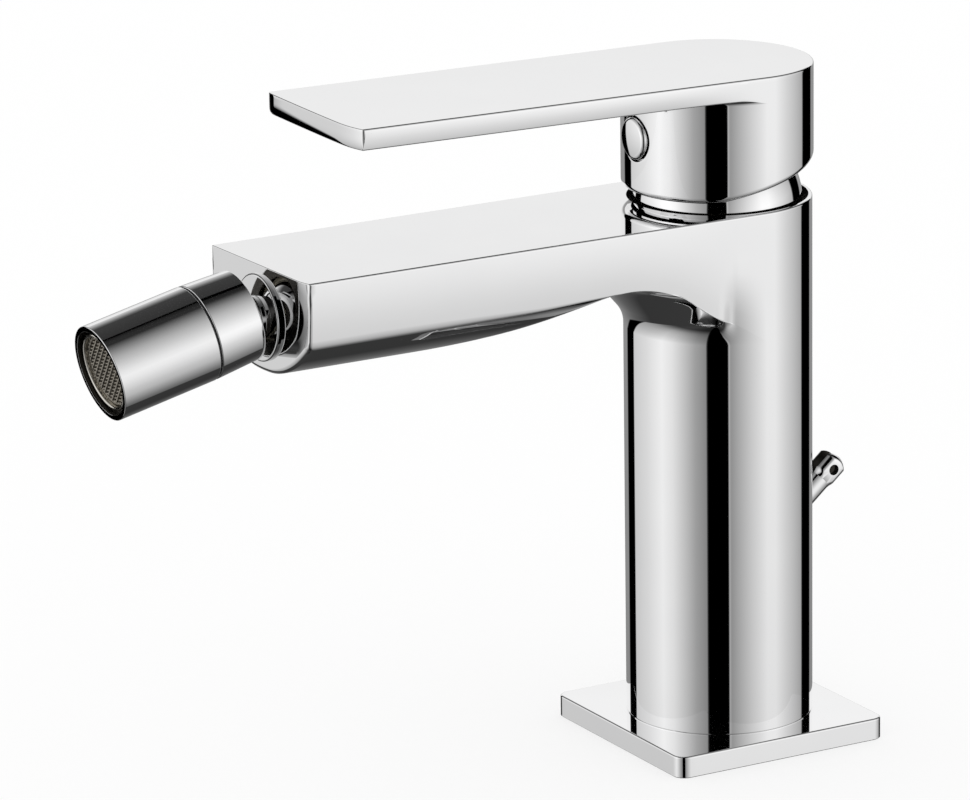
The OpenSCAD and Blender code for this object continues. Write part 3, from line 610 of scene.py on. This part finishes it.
end_rows, end_face = closed_end(tip + tip_top, len(tip), spout_edge, spout_front)
rim = [row[0] for row in spout_rows]
rim += tip_top[-2::-1]
rim += [row[-1] for row in reversed(spout_rows)]
rim += [row[0] for row in reversed(back_rows[:-1])]
top_rows = [
    rim,
    round_ring(RECESS_RIM_R, BODY_TOP, rim),
    round_ring(RECESS_RIM_R, RECESS_RIM_Z, rim),
    round_ring(RECESS_R, RECESS_RIM_Z, rim),
    round_ring(RECESS_R, RECESS_Z, rim),
    round_ring(THREAD_R, RECESS_Z, rim),
    round_ring(THREAD_R, SHOULDER_Z - 1, rim),
    round_ring(CHAMBER_R, SHOULDER_Z - 1, rim),
    round_ring(CHAMBER_R, SEAT_Z, rim),
    [Vector((0, 0, SEAT_Z))] * len(rim)]
body = build_piece("column_and_spout", [
    spout_rows, back_rows, column_rows, end_rows, end_face, top_rows])
# Painted shade: near-black metal for the hollows (the body's recess and bores, the stay's hole and slot,
# the nozzle's inner faces), darker than any bare brass, standing in for the shade that falls there.
painted_shade_inside = turned_metal("painted_shade_inside", (0.06, 0.055, 0.048, 1), (0.028, 0.026, 0.023, 1), 0.3)
body.data.materials.append(bright_chrome)
body.data.materials.append(painted_shade_inside)
# Faces in the top recess and the bores above the seat get the painted shade.
for face in body.data.polygons:
    place = face.center / MM
    bored = math.hypot(place.x, place.y) < RECESS_RIM_R + 0.01
    if bored and SEAT_Z < place.z < BODY_TOP - 0.01:
        face.material_index = 1
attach(body, "tap_body")
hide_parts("body")

# The chain stay is a short forked rod, turned, slotted and cross-drilled from brass bar and chromed.
# Its thread is screwed into the back of the column, and a pin for a waste chain fits its cross hole.
STAY_Z = 52.3
STAY_SLOPE = math.radians(40)
STAY_ROD_R = 3.2
STAY_HEAD_R = 3.6
STAY_DOME_R = 4.6
STAY_DOME = 9.75
STAY_HOLE = 10.7
STAY_SHOULDER = 7.1
STAY_TAPER = 1.8
STAY_FLOOR = 7.4
STAY_CHEEK = 3.1
STAY_SLOT = 1.35
STAY_BEVEL = 0.12
STAY_HOLE_R = 1.3


def along_axis(origin, axis, side):
    """A frame whose third axis runs along a piece, for turned pieces."""
    axis = Vector(axis).normalized()
    side = Vector(side)
    return Matrix.Translation(Vector(origin)) @ Matrix((side, axis.cross(side), axis)).transposed().to_4x4()


def rounded(corners, steps=6):
    """A chain of corners (distance out, distance along, radius) with the corners rounded."""
    chain = []
    for index, (out, along, radius) in enumerate(corners):
        here = Vector((out, along))
        if radius == 0:
            chain.append(here)
            continue
        back = (Vector(corners[index - 1][:2]) - here).normalized()
        ahead = (Vector(corners[index + 1][:2]) - here).normalized()
        half = back.angle(ahead) / 2
        centre = here + (back + ahead).normalized() * (radius / math.sin(half))
        first = here + back * (radius / math.tan(half)) - centre
        final = here + ahead * (radius / math.tan(half)) - centre
        chain += [centre + first.slerp(final, step / steps) * radius for step in range(steps + 1)]
    return chain


def turned(chain, place, steps=96):
    """A turned skin: a chain of (distance out, distance along) swept round a piece's axis."""
    rows = []
    for step in range(steps + 1):
        angle = math.tau * (step % steps) / steps
        rows.append([
            place @ Vector((point[0] * math.cos(angle), point[0] * math.sin(angle), point[1]))
            for point in chain])
    return rows


stay_frame = along_axis(
    (0, COLUMN_R, STAY_Z), (0, math.cos(STAY_SLOPE), math.sin(STAY_SLOPE)), (1, 0, 0))
stay_patches = [turned(rounded((
    (0, -4, 0), (STAY_ROD_R, -4, 0), (STAY_ROD_R, STAY_FLOOR, 0.25), (0, STAY_FLOOR, 0))), stay_frame, 64)]


def prong_ring(x, shrink, side):
    """Outline of one prong at a distance from the slot's middle plane: straight sides, domed end."""
    reach = math.sqrt(STAY_HEAD_R ** 2 - x * x) - shrink
    dome = (STAY_DOME_R - shrink) ** 2 - x * x
    above = STAY_HOLE - STAY_DOME
    ring = []
    for step in range(97):
        angle = math.tau * step / 96
        y = math.cos(angle)
        z = math.sin(angle)
        size = math.sqrt(dome - (above * y) ** 2) - above * z
        size = min(size, reach / max(abs(y), 1e-6))
        if z < 0:
            size = min(size, (STAY_HOLE - STAY_SHOULDER - shrink) / -z)
        along = STAY_HOLE + z * size
        swell = ease((along - STAY_SHOULDER) / STAY_TAPER)
        width = STAY_ROD_R + 0.03 + (STAY_HEAD_R - STAY_ROD_R) * swell
        limit = math.sqrt(width ** 2 - x * x) - shrink
        ring.append(stay_frame @ Vector((side * x, min(max(y * size, -limit), limit), along)))
    return ring


def hole_ring(x, side):
    """The cross hole's edge on one face of a prong."""
    return [stay_frame @ Vector((
        side * x,
        STAY_HOLE_R * math.cos(math.tau * step / 96),
        STAY_HOLE + STAY_HOLE_R * math.sin(math.tau * step / 96))) for step in range(97)]


for side in (-1, 1):
    first = STAY_SLOT + STAY_BEVEL
    last = STAY_CHEEK - 0.2
    prong = [hole_ring(STAY_SLOT, side), prong_ring(STAY_SLOT, STAY_BEVEL, side)]
    for step in range(13):
        prong.append(prong_ring(first + (last - first) * step / 12, 0, side))
    prong.append(prong_ring(STAY_CHEEK - STAY_BEVEL / 2, STAY_BEVEL / 4, side))
    prong.append(prong_ring(STAY_CHEEK, STAY_BEVEL, side))
    prong.append(hole_ring(STAY_CHEEK, side))
    prong.append(hole_ring(STAY_SLOT, side))
    stay_patches.append(prong)
stay = build_piece("chain_stay_fork", stay_patches)
stay.data.materials.append(bright_chrome)
stay.data.materials.append(painted_shade_inside)
# The cross hole's wall and the slot's faces get the painted shade, so they read as dark shaded openings.
for face in stay.data.polygons:
    place = stay_frame.inverted() @ (face.center / MM)
    in_hole = math.hypot(place.y, place.z - STAY_HOLE) < STAY_HOLE_R + 0.01
    in_slot = abs(place.x) < STAY_SLOT + 0.01 and place.z > STAY_SHOULDER
    if in_hole or in_slot:
        face.material_index = 1
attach(stay, "tap_body")
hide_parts("chain_stay")

# The cartridge stands in the body's chamber: a moulded base and housing, two ceramic discs, a carrier
# and a turret, all made by a cartridge maker. A brass hexagon nut clamps it down.
# A square brass spindle rocks on a steel pin in the turret.


def moulded(name, light, dark, scale=500.0):
    """Moulded plastic: nearly even colour, a faint flow pattern and a satin skin."""
    finish = bpy.data.materials.new(name)
    finish.use_nodes = True
    finish.node_tree.nodes.clear()
    skin = Shade(finish.node_tree)
    place = skin.node("ShaderNodeTexCoord", out="Object")
    flow = skin.node("ShaderNodeTexNoise", inputs={"Vector": place, "Scale": scale / 8, "Detail": 2.0})
    grain = skin.node("ShaderNodeTexNoise", inputs={"Vector": place, "Scale": scale * 4, "Detail": 2.0})
    colour = skin.node("ShaderNodeMix", {"data_type": "RGBA"}, {0: flow, 6: dark, 7: light}, out=2)
    bump = skin.node("ShaderNodeBump", inputs={
        "Strength": 0.12, "Distance": 0.00003, "Height": grain})
    shell = skin.node("ShaderNodeBsdfPrincipled", inputs={
        "Base Color": colour, "Roughness": 0.32 + 0.16 * grain, "Normal": bump})
    skin.node("ShaderNodeOutputMaterial", inputs={"Surface": shell})
    return finish


white_plastic = moulded("white_plastic", (0.86, 0.86, 0.84, 1), (0.78, 0.78, 0.76, 1))
grey_plastic = moulded("grey_plastic", (0.34, 0.35, 0.37, 1), (0.26, 0.27, 0.29, 1))
ceramic = moulded("ceramic_disc", (0.93, 0.92, 0.89, 1), (0.86, 0.85, 0.83, 1), 900.0)
bare_brass = turned_metal("bare_brass", (0.83, 0.63, 0.28, 1), (0.69, 0.48, 0.18, 1), 0.2)
bare_steel = turned_metal("bare_steel", (0.62, 0.61, 0.6, 1), (0.45, 0.44, 0.43, 1), 0.22, (14.0, 1.0, 1.0))
finish_nodes(white_plastic, "cartridge_housing", "turret", "aerator_diffuser")
finish_nodes(grey_plastic, "cartridge_base", "disc_carrier")
finish_nodes(ceramic, "fixed_disc", "moving_disc")
finish_nodes(bare_brass, "cartridge_nut", "spindle")
finish_nodes(bare_steel, "spindle_pin", "grub_screw")

# The collar is a thin domed ring, pressed from brass sheet and chromed. Its skirt is pushed into the
# body's recess over the nut, and its dome fills the gap under the handle at every lift.
PIVOT_Z = 128.0
COLLAR_R = 19.7
COLLAR_WALL = 1.4
COLLAR_TOP = 140.0
COLLAR_TOP_R = 15.55
COLLAR_LIP = 0.15
DOME_R = math.hypot(COLLAR_R, BODY_TOP - PIVOT_Z)


def dome_chain(radius, low, high, steps):
    """Points on a dome about the lift's pivot, between two heights."""
    return [
        (math.sqrt(radius ** 2 - (z - PIVOT_Z) ** 2), z)
        for z in (low + (high - low) * step / steps for step in range(steps + 1))]


upright = Matrix.Identity(4)
collar_chain = [(COLLAR_R, RECESS_Z), (COLLAR_R, BODY_TOP - 0.02)]
collar_chain += dome_chain(DOME_R, BODY_TOP, COLLAR_TOP - COLLAR_LIP, 24)
collar_chain += [(COLLAR_TOP_R, COLLAR_TOP)]
collar_chain += dome_chain(DOME_R - COLLAR_WALL, COLLAR_TOP, BODY_TOP, 16)
collar_chain += [(COLLAR_R - COLLAR_WALL, RECESS_Z), (COLLAR_R, RECESS_Z)]
collar = build_piece("domed_collar", [turned(collar_chain, upright, 160)])
collar.data.materials.append(bright_chrome)
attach(collar, "tap_body")
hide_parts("collar")

# The handle is one casting, ground, polished and chromed: a round head and a long flat plate
# as its lever. Inside the head a hub takes the square spindle, and a grub screw from the front
# fixes it. The head's lower edge is rounded and slopes up to the rear so that it can tilt.
HEAD_R = 22.3
LEVER_HALF = 22.2
LEVER_END = 106.15
LEVER_TOP = 161.78
LEVER_RISE = math.tan(math.radians(0.8))
LEVER_T = 4.9
LEVER_EDGE = 0.5
LEVER_SIDE_BEND = 0.03
LEVER_CREST = 1.3
LEVER_FOOT = 0.4
LEVER_ROOT = 1.2
LEVER_TIP = 4.2
TIP_LEFT_CORNER = 0.8
TIP_RIGHT_CORNER = 0.6
TIP_TOP_EDGE = 0.25
TIP_LOW_HEIGHT = 2.6
TIP_LOW_DEPTH = 0.45
TIP_LEFT_FOOT = 1.8
TIP_APEX = 12.0
TIP_LEFT_SAG = 0.85
TIP_LEFT_TURN = 0.42
TIP_TURN_WIDTH = 3.7
TIP_RIGHT_SAG = 1.4
SKIRT_LOW = 132.7
SKIRT_FILLET = 1.5
SKIRT_IN = 20.0
SKIRT_SLOPE = math.tan(math.radians(11.9))
SKIRT_BREAK = 11.5
CAVITY_Z = 155.0
HUB_R = 8.0
HUB_Z = 141.0
SPINDLE_HALF = 3.55
SPINDLE_TOP = 153.05
PLUG_Z = 146.0
POCKET_R = 5.45
POCKET_EDGE = 0.12
POCKET_END = 18.3
WINDOW = 12
WINDOW_LOW = 139.2
WINDOW_HIGH = 152.8
WINDOW_ROWS = 20
HEAD_STEPS = 64


def lever_top(y):
    return LEVER_TOP - y * LEVER_RISE


def lever_root_z(y):
    return lever_top(y) - LEVER_T - LEVER_ROOT


def lever_section(out, y_mid, y_side, softer=0.0):
    """One half of the lever's skin across one station, from its top edge to its middle."""
    share = -y_side / LEVER_END
    bend = LEVER_SIDE_BEND * ease(share / 0.25)
    half = HEAD_R + (LEVER_HALF - HEAD_R) * share
    foot = LEVER_FOOT * ease(share / 0.15) + softer * ease((share - 0.75) / 0.2)

    def side_x(depth):
        return half - bend * (depth - LEVER_CREST) ** 2

    low_half = side_x(LEVER_T)

    def below(angle, inset):
        x = (low_half - inset) * math.sin(angle)
        y = y_mid + (y_side - y_mid) * math.sin(angle) ** 2
        if out:
            y = -math.sqrt(max(out * out - x * x, 0))
        clear = min(math.hypot(x, y) - HEAD_R, LEVER_ROOT)
        rise = math.sqrt(max(LEVER_ROOT ** 2 - (LEVER_ROOT - max(clear, 0)) ** 2, 0))
        return Vector((x, y, lever_root_z(y) + rise))

    edge = below(math.pi / 2, 0)
    inner = below(math.pi / 2, foot)
    top = lever_top(edge.y)
    points = []
    for step in range(7):
        sweep = step / 6 * math.pi / 2
        depth = LEVER_EDGE * (1 - math.cos(sweep))
        x = side_x(LEVER_EDGE) - LEVER_EDGE * (1 - math.sin(sweep))
        points.append(Vector((x, edge.y, top - depth)))
    low = top - edge.z - foot
    for step in range(1, 9):
        depth = LEVER_EDGE + (low - LEVER_EDGE) * step / 8
        points.append(Vector((side_x(depth), edge.y, top - depth)))
    start = points[-1]
    corner = Vector((side_x(low + foot), edge.y, edge.z))
    for step in range(1, 7):
        t = step / 6
        points.append(start * (1 - t) ** 2 + corner * (2 * t * (1 - t)) + inner * t ** 2)
    for step in range(1, HEAD_STEPS + 1):
        points.append(below(math.pi / 2 * (1 - step / HEAD_STEPS), foot))
    return points


lever_stations = []
for step in range(11):
    out = HEAD_R + LEVER_ROOT * (1 - math.cos(math.pi / 2 * step / 10))
    lever_stations.append((out, -out, -math.sqrt(max(out * out - HEAD_R * HEAD_R, 0))))
lever_sag = lever_stations[-1][2] - lever_stations[-1][1]
lever_start = lever_stations[-1][1]
for step in range(1, 41):
    y = lever_start + (LEVER_TIP - LEVER_END - lever_start) * step / 40
    lever_stations.append((0, y, y + lever_sag * (1 - ease(step / 28))))
lever_halves = [lever_section(*station) for station in lever_stations]
left_halves = [lever_section(*station, TIP_LEFT_FOOT) for station in lever_stations]
lever_rows = [half + mirrored(left_half) for half, left_half in zip(lever_halves, left_halves)]
tip = lever_rows[-1]
tip_top = top_edge(tip)
tip_high = tip[0].z
tip_low = tip[len(tip) // 2].z
tip_half = max(point.x for point in tip)


def lever_front(point):
    """The lever's front in plan: bowed, fullest towards the right, with rounded corners."""
    x = min(max(point.x, -tip_half), tip_half)
    if x < TIP_APEX:
        sag = TIP_LEFT_SAG * ((TIP_APEX - x) / (TIP_APEX + tip_half)) ** 1.5
        sag += TIP_LEFT_TURN * max(1 - (tip_half + x) / TIP_TURN_WIDTH, 0) ** 1.8
    else:
        sag = TIP_RIGHT_SAG * ((x - TIP_APEX) / (tip_half - TIP_APEX)) ** 2.6
    size = TIP_LEFT_CORNER if x < 0 else TIP_RIGHT_CORNER
    over = max(abs(x) - tip_half + size, 0)
    return sag + size - math.sqrt(size ** 2 - over ** 2) - LEVER_END


def tip_edge(point, lean, sweep):
    """The lever's front edge: nearly sharp on top and drawn back below."""
    low = tip_low + TIP_LOW_HEIGHT * (1 - math.cos(sweep))
    high = tip_high - TIP_TOP_EDGE * (1 - math.cos(sweep))
    depth = (TIP_TOP_EDGE if lean.z > 0 else TIP_LOW_DEPTH) * lean.z ** 2
    y = lever_front(point) + depth * (1 - math.sin(sweep))
    return Vector((point.x, y, min(max(point.z, low), high) + (point.y - y) * LEVER_RISE))


front_rows, front_face = closed_end(tip + tip_top, len(tip), tip_edge, lever_front)
crown_rows = []
for step in range(BACK_STEPS + 1):
    bearing = Vector((math.cos(math.pi * step / BACK_STEPS), math.sin(math.pi * step / BACK_STEPS), 0))
    y = bearing.y * HEAD_R
    column = []
    for point in lever_halves[0][:15]:
        share = (LEVER_TOP - point.z) / (LEVER_TOP - lever_halves[0][14].z)
        z = lever_top(y) + (lever_root_z(y) - lever_top(y)) * share
        column.append(bearing * point.x + Vector((0, 0, z)))
    crown_rows.append(column)
lever_rim = [half[0] for half in lever_halves]
lever_rim += tip_top[-2::-1]
lever_rim += [row[-1] for row in reversed(lever_rows)]
lever_rim += [row[0] for row in reversed(crown_rows[:-1])]
lever_face = [lever_rim, [Vector((0, 0, LEVER_TOP))] * len(lever_rim)]
head_ring = lever_rows[0][20:-20] + [row[14] for row in reversed(crown_rows[:-1])]


def skirt_low(y):
    return SKIRT_LOW + softer_top(0, (y + SKIRT_BREAK) * SKIRT_SLOPE, 0.6)


def wall_row(level):
    """A ring of the head's wall: level at the front, following the sloping edge at the rear."""
    row = []
    fixed_top = LEVER_TOP - LEVER_T - LEVER_ROOT
    share = (level - SKIRT_LOW - SKIRT_FILLET) / (fixed_top - SKIRT_LOW - SKIRT_FILLET)
    for point in head_ring:
        low = skirt_low(point.y) + SKIRT_FILLET
        row.append(Vector((point.x, point.y, low + (fixed_top - low) * share)))
    return row


def square_row(half, height):
    """A square ring with one point at each bearing of the head's ring."""
    row = []
    for point in head_ring:
        size = half / max(abs(point.x), abs(point.y))
        row.append(Vector((point.x * size, point.y * size, height)))
    return row


window_levels = [
    WINDOW_HIGH + (WINDOW_LOW - WINDOW_HIGH) * step / WINDOW_ROWS for step in range(WINDOW_ROWS + 1)]
wall_rows = [wall_row(level) for level in window_levels]
skirt_rows = []
skirt_centre = HEAD_R - SKIRT_FILLET
for step in range(9):
    sweep = math.pi / 2 * step / 8
    row = []
    for point in head_ring:
        place = Vector((point.x, point.y, 0)).normalized() * (skirt_centre + SKIRT_FILLET * math.cos(sweep))
        place.z = skirt_low(place.y) + SKIRT_FILLET * (1 - math.sin(sweep))
        row.append(place)
    skirt_rows.append(row)
skirt_rows.append([
    Vector((point.x, point.y, skirt_low(point.y))) for point in round_ring(SKIRT_IN, 0, head_ring)])
skirt_rows.append(round_ring(SKIRT_IN, CAVITY_Z, head_ring))
skirt_rows.append(round_ring(HUB_R, CAVITY_Z, head_ring))
skirt_rows.append(round_ring(HUB_R, HUB_Z, head_ring))
skirt_rows.append(square_row(SPINDLE_HALF, HUB_Z))
skirt_rows.append(square_row(SPINDLE_HALF, SPINDLE_TOP))
skirt_rows.append([Vector((0, 0, SPINDLE_TOP))] * len(head_ring))
left = HEAD_STEPS - WINDOW
right = HEAD_STEPS + WINDOW
outside = list(range(right, len(head_ring))) + list(range(1, left + 1))
side_wall = [[row[index] for index in outside] for row in [head_ring] + wall_rows + skirt_rows[:1]]
over_window = [head_ring[left:right + 1], wall_rows[0][left:right + 1]]
under_window = [wall_rows[-1][left:right + 1], skirt_rows[0][left:right + 1]]
frame_ring = wall_rows[0][left:right + 1]
frame_ring += [row[right] for row in wall_rows[1:]]
frame_ring += wall_rows[-1][left:right][::-1]
frame_ring += [row[left] for row in wall_rows[-2::-1]]


def on_wall(arc, height):
    return Vector((HEAD_R * math.sin(arc / HEAD_R), -HEAD_R * math.cos(arc / HEAD_R), height))


pocket_rows = []
for share in (0, 0.2, 0.4, 0.6, 0.8, 1):
    row = []
    for point in frame_ring:
        arc = HEAD_R * math.asin(point.x / HEAD_R)
        rise = point.z - PLUG_Z
        bearing = Vector((arc, rise)).normalized()
        edge_x = (POCKET_R + POCKET_EDGE) * bearing.x
        edge_arc = HEAD_R * math.asin(edge_x / HEAD_R)
        edge_rise = (POCKET_R + POCKET_EDGE) * bearing.y
        row.append(on_wall(arc + (edge_arc - arc) * share, PLUG_Z + rise + (edge_rise - rise) * share))
    pocket_rows.append(row)
lip = pocket_rows[-1]
for step in range(1, 6):
    sweep = step / 5 * math.pi / 2
    row = []
    for point in lip:
        bearing = Vector((point.x, 0, point.z - PLUG_Z)).normalized()
        place = bearing * (POCKET_R + POCKET_EDGE * (1 - math.sin(sweep)))
        row.append(Vector((place.x, point.y + POCKET_EDGE * (1 - math.cos(sweep)), PLUG_Z + place.z)))
    pocket_rows.append(row)
pocket_rows.append([Vector((point.x, -POCKET_END, point.z)) for point in pocket_rows[-1]])
pocket_rows.append([Vector((0, -POCKET_END, PLUG_Z))] * len(lip))
handle = build_piece("lever_handle", [
    lever_rows, crown_rows, front_rows, front_face, lever_face, side_wall, over_window, under_window,
    skirt_rows, pocket_rows])
handle.data.materials.append(bright_chrome)
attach(handle, "lever")
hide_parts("handle")

# The plug is a small domed cap, turned from brass and chromed. It is pressed into the pocket in the
# front of the head, over the grub screw, and its rim stands a little proud of the round wall.
PLUG_R = 5.0
PLUG_EDGE = 1.05
PLUG_RIM = 23.15
PLUG_FACE = 23.5
plug_frame = along_axis((0, 0, PLUG_Z), (0, -1, 0), (1, 0, 0))
plug_chain = [(0, POCKET_END), (PLUG_R, POCKET_END), (PLUG_R, PLUG_RIM - PLUG_EDGE)]
for step in range(1, 9):
    sweep = step / 8 * math.radians(82)
    plug_chain.append((
        PLUG_R - PLUG_EDGE * (1 - math.cos(sweep)), PLUG_RIM - PLUG_EDGE * (1 - math.sin(sweep))))
dome_start, dome_low = plug_chain[-1]
plug_bow = (dome_start ** 2 + (PLUG_FACE - dome_low) ** 2) / (2 * (PLUG_FACE - dome_low))
for step in range(1, 21):
    out = dome_start * (1 - step / 20)
    plug_chain.append((out, PLUG_FACE - plug_bow + math.sqrt(plug_bow ** 2 - out ** 2)))
plug = build_piece("domed_plug", [turned(plug_chain, plug_frame, 96)])
plug.data.materials.append(bright_chrome)
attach(plug, "lever")
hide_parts("handle_plug")

# The ball stud is turned from brass bar and chromed: a threaded shank, a thin flange, a stepped neck
# and a ball. It is screwed into the spout's end face against a rubber ring, and water runs
# through its bore.
STUD_Z = 117.9
STUD_SEAT = 118.8
SHANK_R = 6.4
SHANK_L = 11.0
FLANGE_R = 10.0
FLANGE_T = 1.95
NECK_R = 4.5
STEP_R = NECK_R + 0.5
STEP_END = FLANGE_T + 1.1
BALL_R = 7.5
BALL_OUT = 11.0
STUD_BORE_R = 2.2
stud_frame = along_axis((0, -STUD_SEAT, STUD_Z), (0, -1, 0), (1, 0, 0))
stud_chain = rounded((
    (STUD_BORE_R, -SHANK_L, 0), (SHANK_R, -SHANK_L, 0.4), (SHANK_R, 0, 0), (FLANGE_R, 0, 0.15),
    (FLANGE_R, FLANGE_T, 0.45), (STEP_R, FLANGE_T, 0.15), (STEP_R, STEP_END, 0.15),
    (NECK_R, STEP_END, 0.15), (NECK_R, BALL_OUT - math.sqrt(BALL_R ** 2 - NECK_R ** 2), 0)))
ball_start = math.pi - math.asin(NECK_R / BALL_R)
ball_end = math.asin(STUD_BORE_R / BALL_R)
for step in range(1, 41):
    angle = ball_start + (ball_end - ball_start) * step / 40
    stud_chain.append(Vector((BALL_R * math.sin(angle), BALL_OUT + BALL_R * math.cos(angle))))
stud_chain.append(stud_chain[0])
stud = build_piece("ball_stud_turned", [turned(stud_chain, stud_frame, 128)])
stud.data.materials.append(bright_chrome)
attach(stud, "tap_body")
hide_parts("ball_stud")

# The nozzle is two turned brass pieces, chromed: a tapered cap behind and a straight sleeve in front,
# screwed together over the ball and its two plastic seats. A thin black ring fills the groove
# between them.
NOZZLE_TILT = math.radians(13.2)
NOZZLE_R = 11.15
TAIL_R = 10.6
TAIL = -5.5
GROOVE = 5.9
SLEEVE = 6.4
RIM = 30.9
CAP_THREAD_R = 9.95
SLEEVE_THREAD_R = 9.9
BALL_ROOM_R = 8.9
CHAMBER_OUT_R = 9.8
RIM_IN_R = 9.9
CHAMBER_START = 12.5
PASSAGE_R = 4.5
THREAD_START = 0.6
nozzle_frame = along_axis(
    (0, -STUD_SEAT - BALL_OUT, STUD_Z), (0, -math.cos(NOZZLE_TILT), -math.sin(NOZZLE_TILT)), (1, 0, 0))


def ball_room(low, high, steps):
    """Points on the round room for the ball, between two places along the nozzle."""
    return [
        Vector((math.sqrt(BALL_ROOM_R ** 2 - along ** 2), along))
        for along in (low + (high - low) * step / steps for step in range(steps + 1))]


tail_open = math.sqrt(BALL_ROOM_R ** 2 - TAIL ** 2)
cap_chain = rounded((
    (tail_open + 0.2, TAIL, 0), (TAIL_R, TAIL, 0.4), (NOZZLE_R - 0.02, GROOVE, 0.25),
    (CAP_THREAD_R, GROOVE, 0), (CAP_THREAD_R, 0, 0)))
cap_chain += ball_room(0, TAIL + 0.2, 14)
cap_chain.append(cap_chain[0])
cap = build_piece("nozzle_cap_turned", [turned(cap_chain, nozzle_frame, 160)])
nozzle_chrome = chromed("nozzle_chrome", 0.95, 0.91, 0.035)
sleeve_chain = rounded((
    (SLEEVE_THREAD_R, SLEEVE, 0), (NOZZLE_R, SLEEVE, 0.25), (NOZZLE_R, RIM, 0.18), (RIM_IN_R, RIM, 0.12),
    (CHAMBER_OUT_R, RIM - 0.35, 0), (CHAMBER_OUT_R, CHAMBER_START, 0), (PASSAGE_R, CHAMBER_START, 0)))
sleeve_room = math.sqrt(BALL_ROOM_R ** 2 - PASSAGE_R ** 2)
sleeve_chain += ball_room(sleeve_room, THREAD_START, 14)
sleeve_chain += [Vector((SLEEVE_THREAD_R, THREAD_START)), sleeve_chain[0]]
sleeve = build_piece("nozzle_sleeve_turned", [turned(sleeve_chain, nozzle_frame, 160)])
for piece, node in ((cap, "nozzle_cap"), (sleeve, "nozzle_sleeve")):
    piece.data.materials.append(nozzle_chrome)
    piece.data.materials.append(painted_shade_inside)
    # Faces inside the thread radius get the painted shade. This includes the inner part of the cap's rear
    # face, which is dark where it shows in the spout's end face.
    for face in piece.data.polygons:
        place = nozzle_frame.inverted() @ (face.center / MM)
        if math.hypot(place.x, place.y) < CAP_THREAD_R:
            face.material_index = 1
    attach(piece, "nozzle")
    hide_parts(node)
ivory_plastic = moulded("ivory_plastic", (0.7, 0.65, 0.52, 1), (0.6, 0.55, 0.43, 1))
finish_nodes(ivory_plastic, "ball_seat_rear", "ball_seat_front")
finish_nodes(black_rubber, "nozzle_ring")

# The aerator is a bought-in insert: a thin metal cup with a rolled rim holds a diffuser and a
# woven wire screen. It lies in the nozzle's mouth against a rubber washer.
CUP_R = 9.75
CUP_WALL = 0.9
CUP_START = 14.0
CUP_END = 30.2
CUP_MOUTH_R = 9.1
CUP_NECK = 28.6
SCREEN_R = 8.1
SCREEN_ALONG = 28.9
SCREEN_PITCH = 1.05
WIRE_R = 0.24
WIRE_SIDES = 8
FRAME_R = SCREEN_R - 0.7
FRAME_BACK = SCREEN_ALONG - 0.3
FRAME_FRONT = SCREEN_ALONG + 0.35
cup_chain = rounded((
    (CUP_MOUTH_R - CUP_WALL, CUP_START, 0), (CUP_R, CUP_START, 0), (CUP_R, CUP_NECK, 0),
    (CUP_MOUTH_R, CUP_NECK, 0), (CUP_MOUTH_R, CUP_END, 0.4), (CUP_MOUTH_R - CUP_WALL, CUP_END, 0.4),
    (CUP_MOUTH_R - CUP_WALL, CUP_START, 0)))
cup = build_piece("aerator_cup", [turned(cup_chain, nozzle_frame, 128)])
nickel = turned_metal("warm_nickel", (0.86, 0.83, 0.77, 1), (0.72, 0.69, 0.62, 1), 0.06)
cup.data.materials.append(nickel)
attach(cup, "nozzle")
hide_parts("aerator_housing")


def woven_wire(offset, across, lift):
    """One wire of the screen, waving over and under the wires that cross it."""
    reach = math.sqrt(SCREEN_R ** 2 - offset ** 2) - 0.1
    steps = max(int(reach / SCREEN_PITCH * 12), 6)
    rows = []
    for step in range(steps + 1):
        along = reach * (2 * step / steps - 1)
        wave = lift * WIRE_R * math.cos(math.pi * along / SCREEN_PITCH)
        ring = []
        for corner in range(WIRE_SIDES + 1):
            angle = math.tau * (corner % WIRE_SIDES) / WIRE_SIDES
            sideways = offset + WIRE_R * math.cos(angle)
            height = SCREEN_ALONG + wave + WIRE_R * math.sin(angle)
            if across:
                ring.append(nozzle_frame @ Vector((along, sideways, height)))
            else:
                ring.append(nozzle_frame @ Vector((sideways, along, height)))
        rows.append(ring)
    return rows


wires = []
reach_count = int((SCREEN_R - 0.4) / SCREEN_PITCH)
for index in range(-reach_count, reach_count + 1):
    lift = 1 if index % 2 else -1
    wires.append(woven_wire(index * SCREEN_PITCH, True, lift))
    wires.append(woven_wire(index * SCREEN_PITCH, False, -lift))
wires.append(turned(rounded((
    (FRAME_R, FRAME_BACK, 0), (SCREEN_R, FRAME_BACK, 0), (SCREEN_R, FRAME_FRONT, 0.15),
    (FRAME_R, FRAME_FRONT, 0.15), (FRAME_R, FRAME_BACK, 0))), nozzle_frame, 96))
screen = build_piece("woven_screen", wires, 0.0005)
screen.data.materials.append(turned_metal(
    "screen_wire", (0.42, 0.39, 0.34, 1), (0.27, 0.25, 0.21, 1), 0.3))
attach(screen, "nozzle")
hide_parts("aerator_screen")
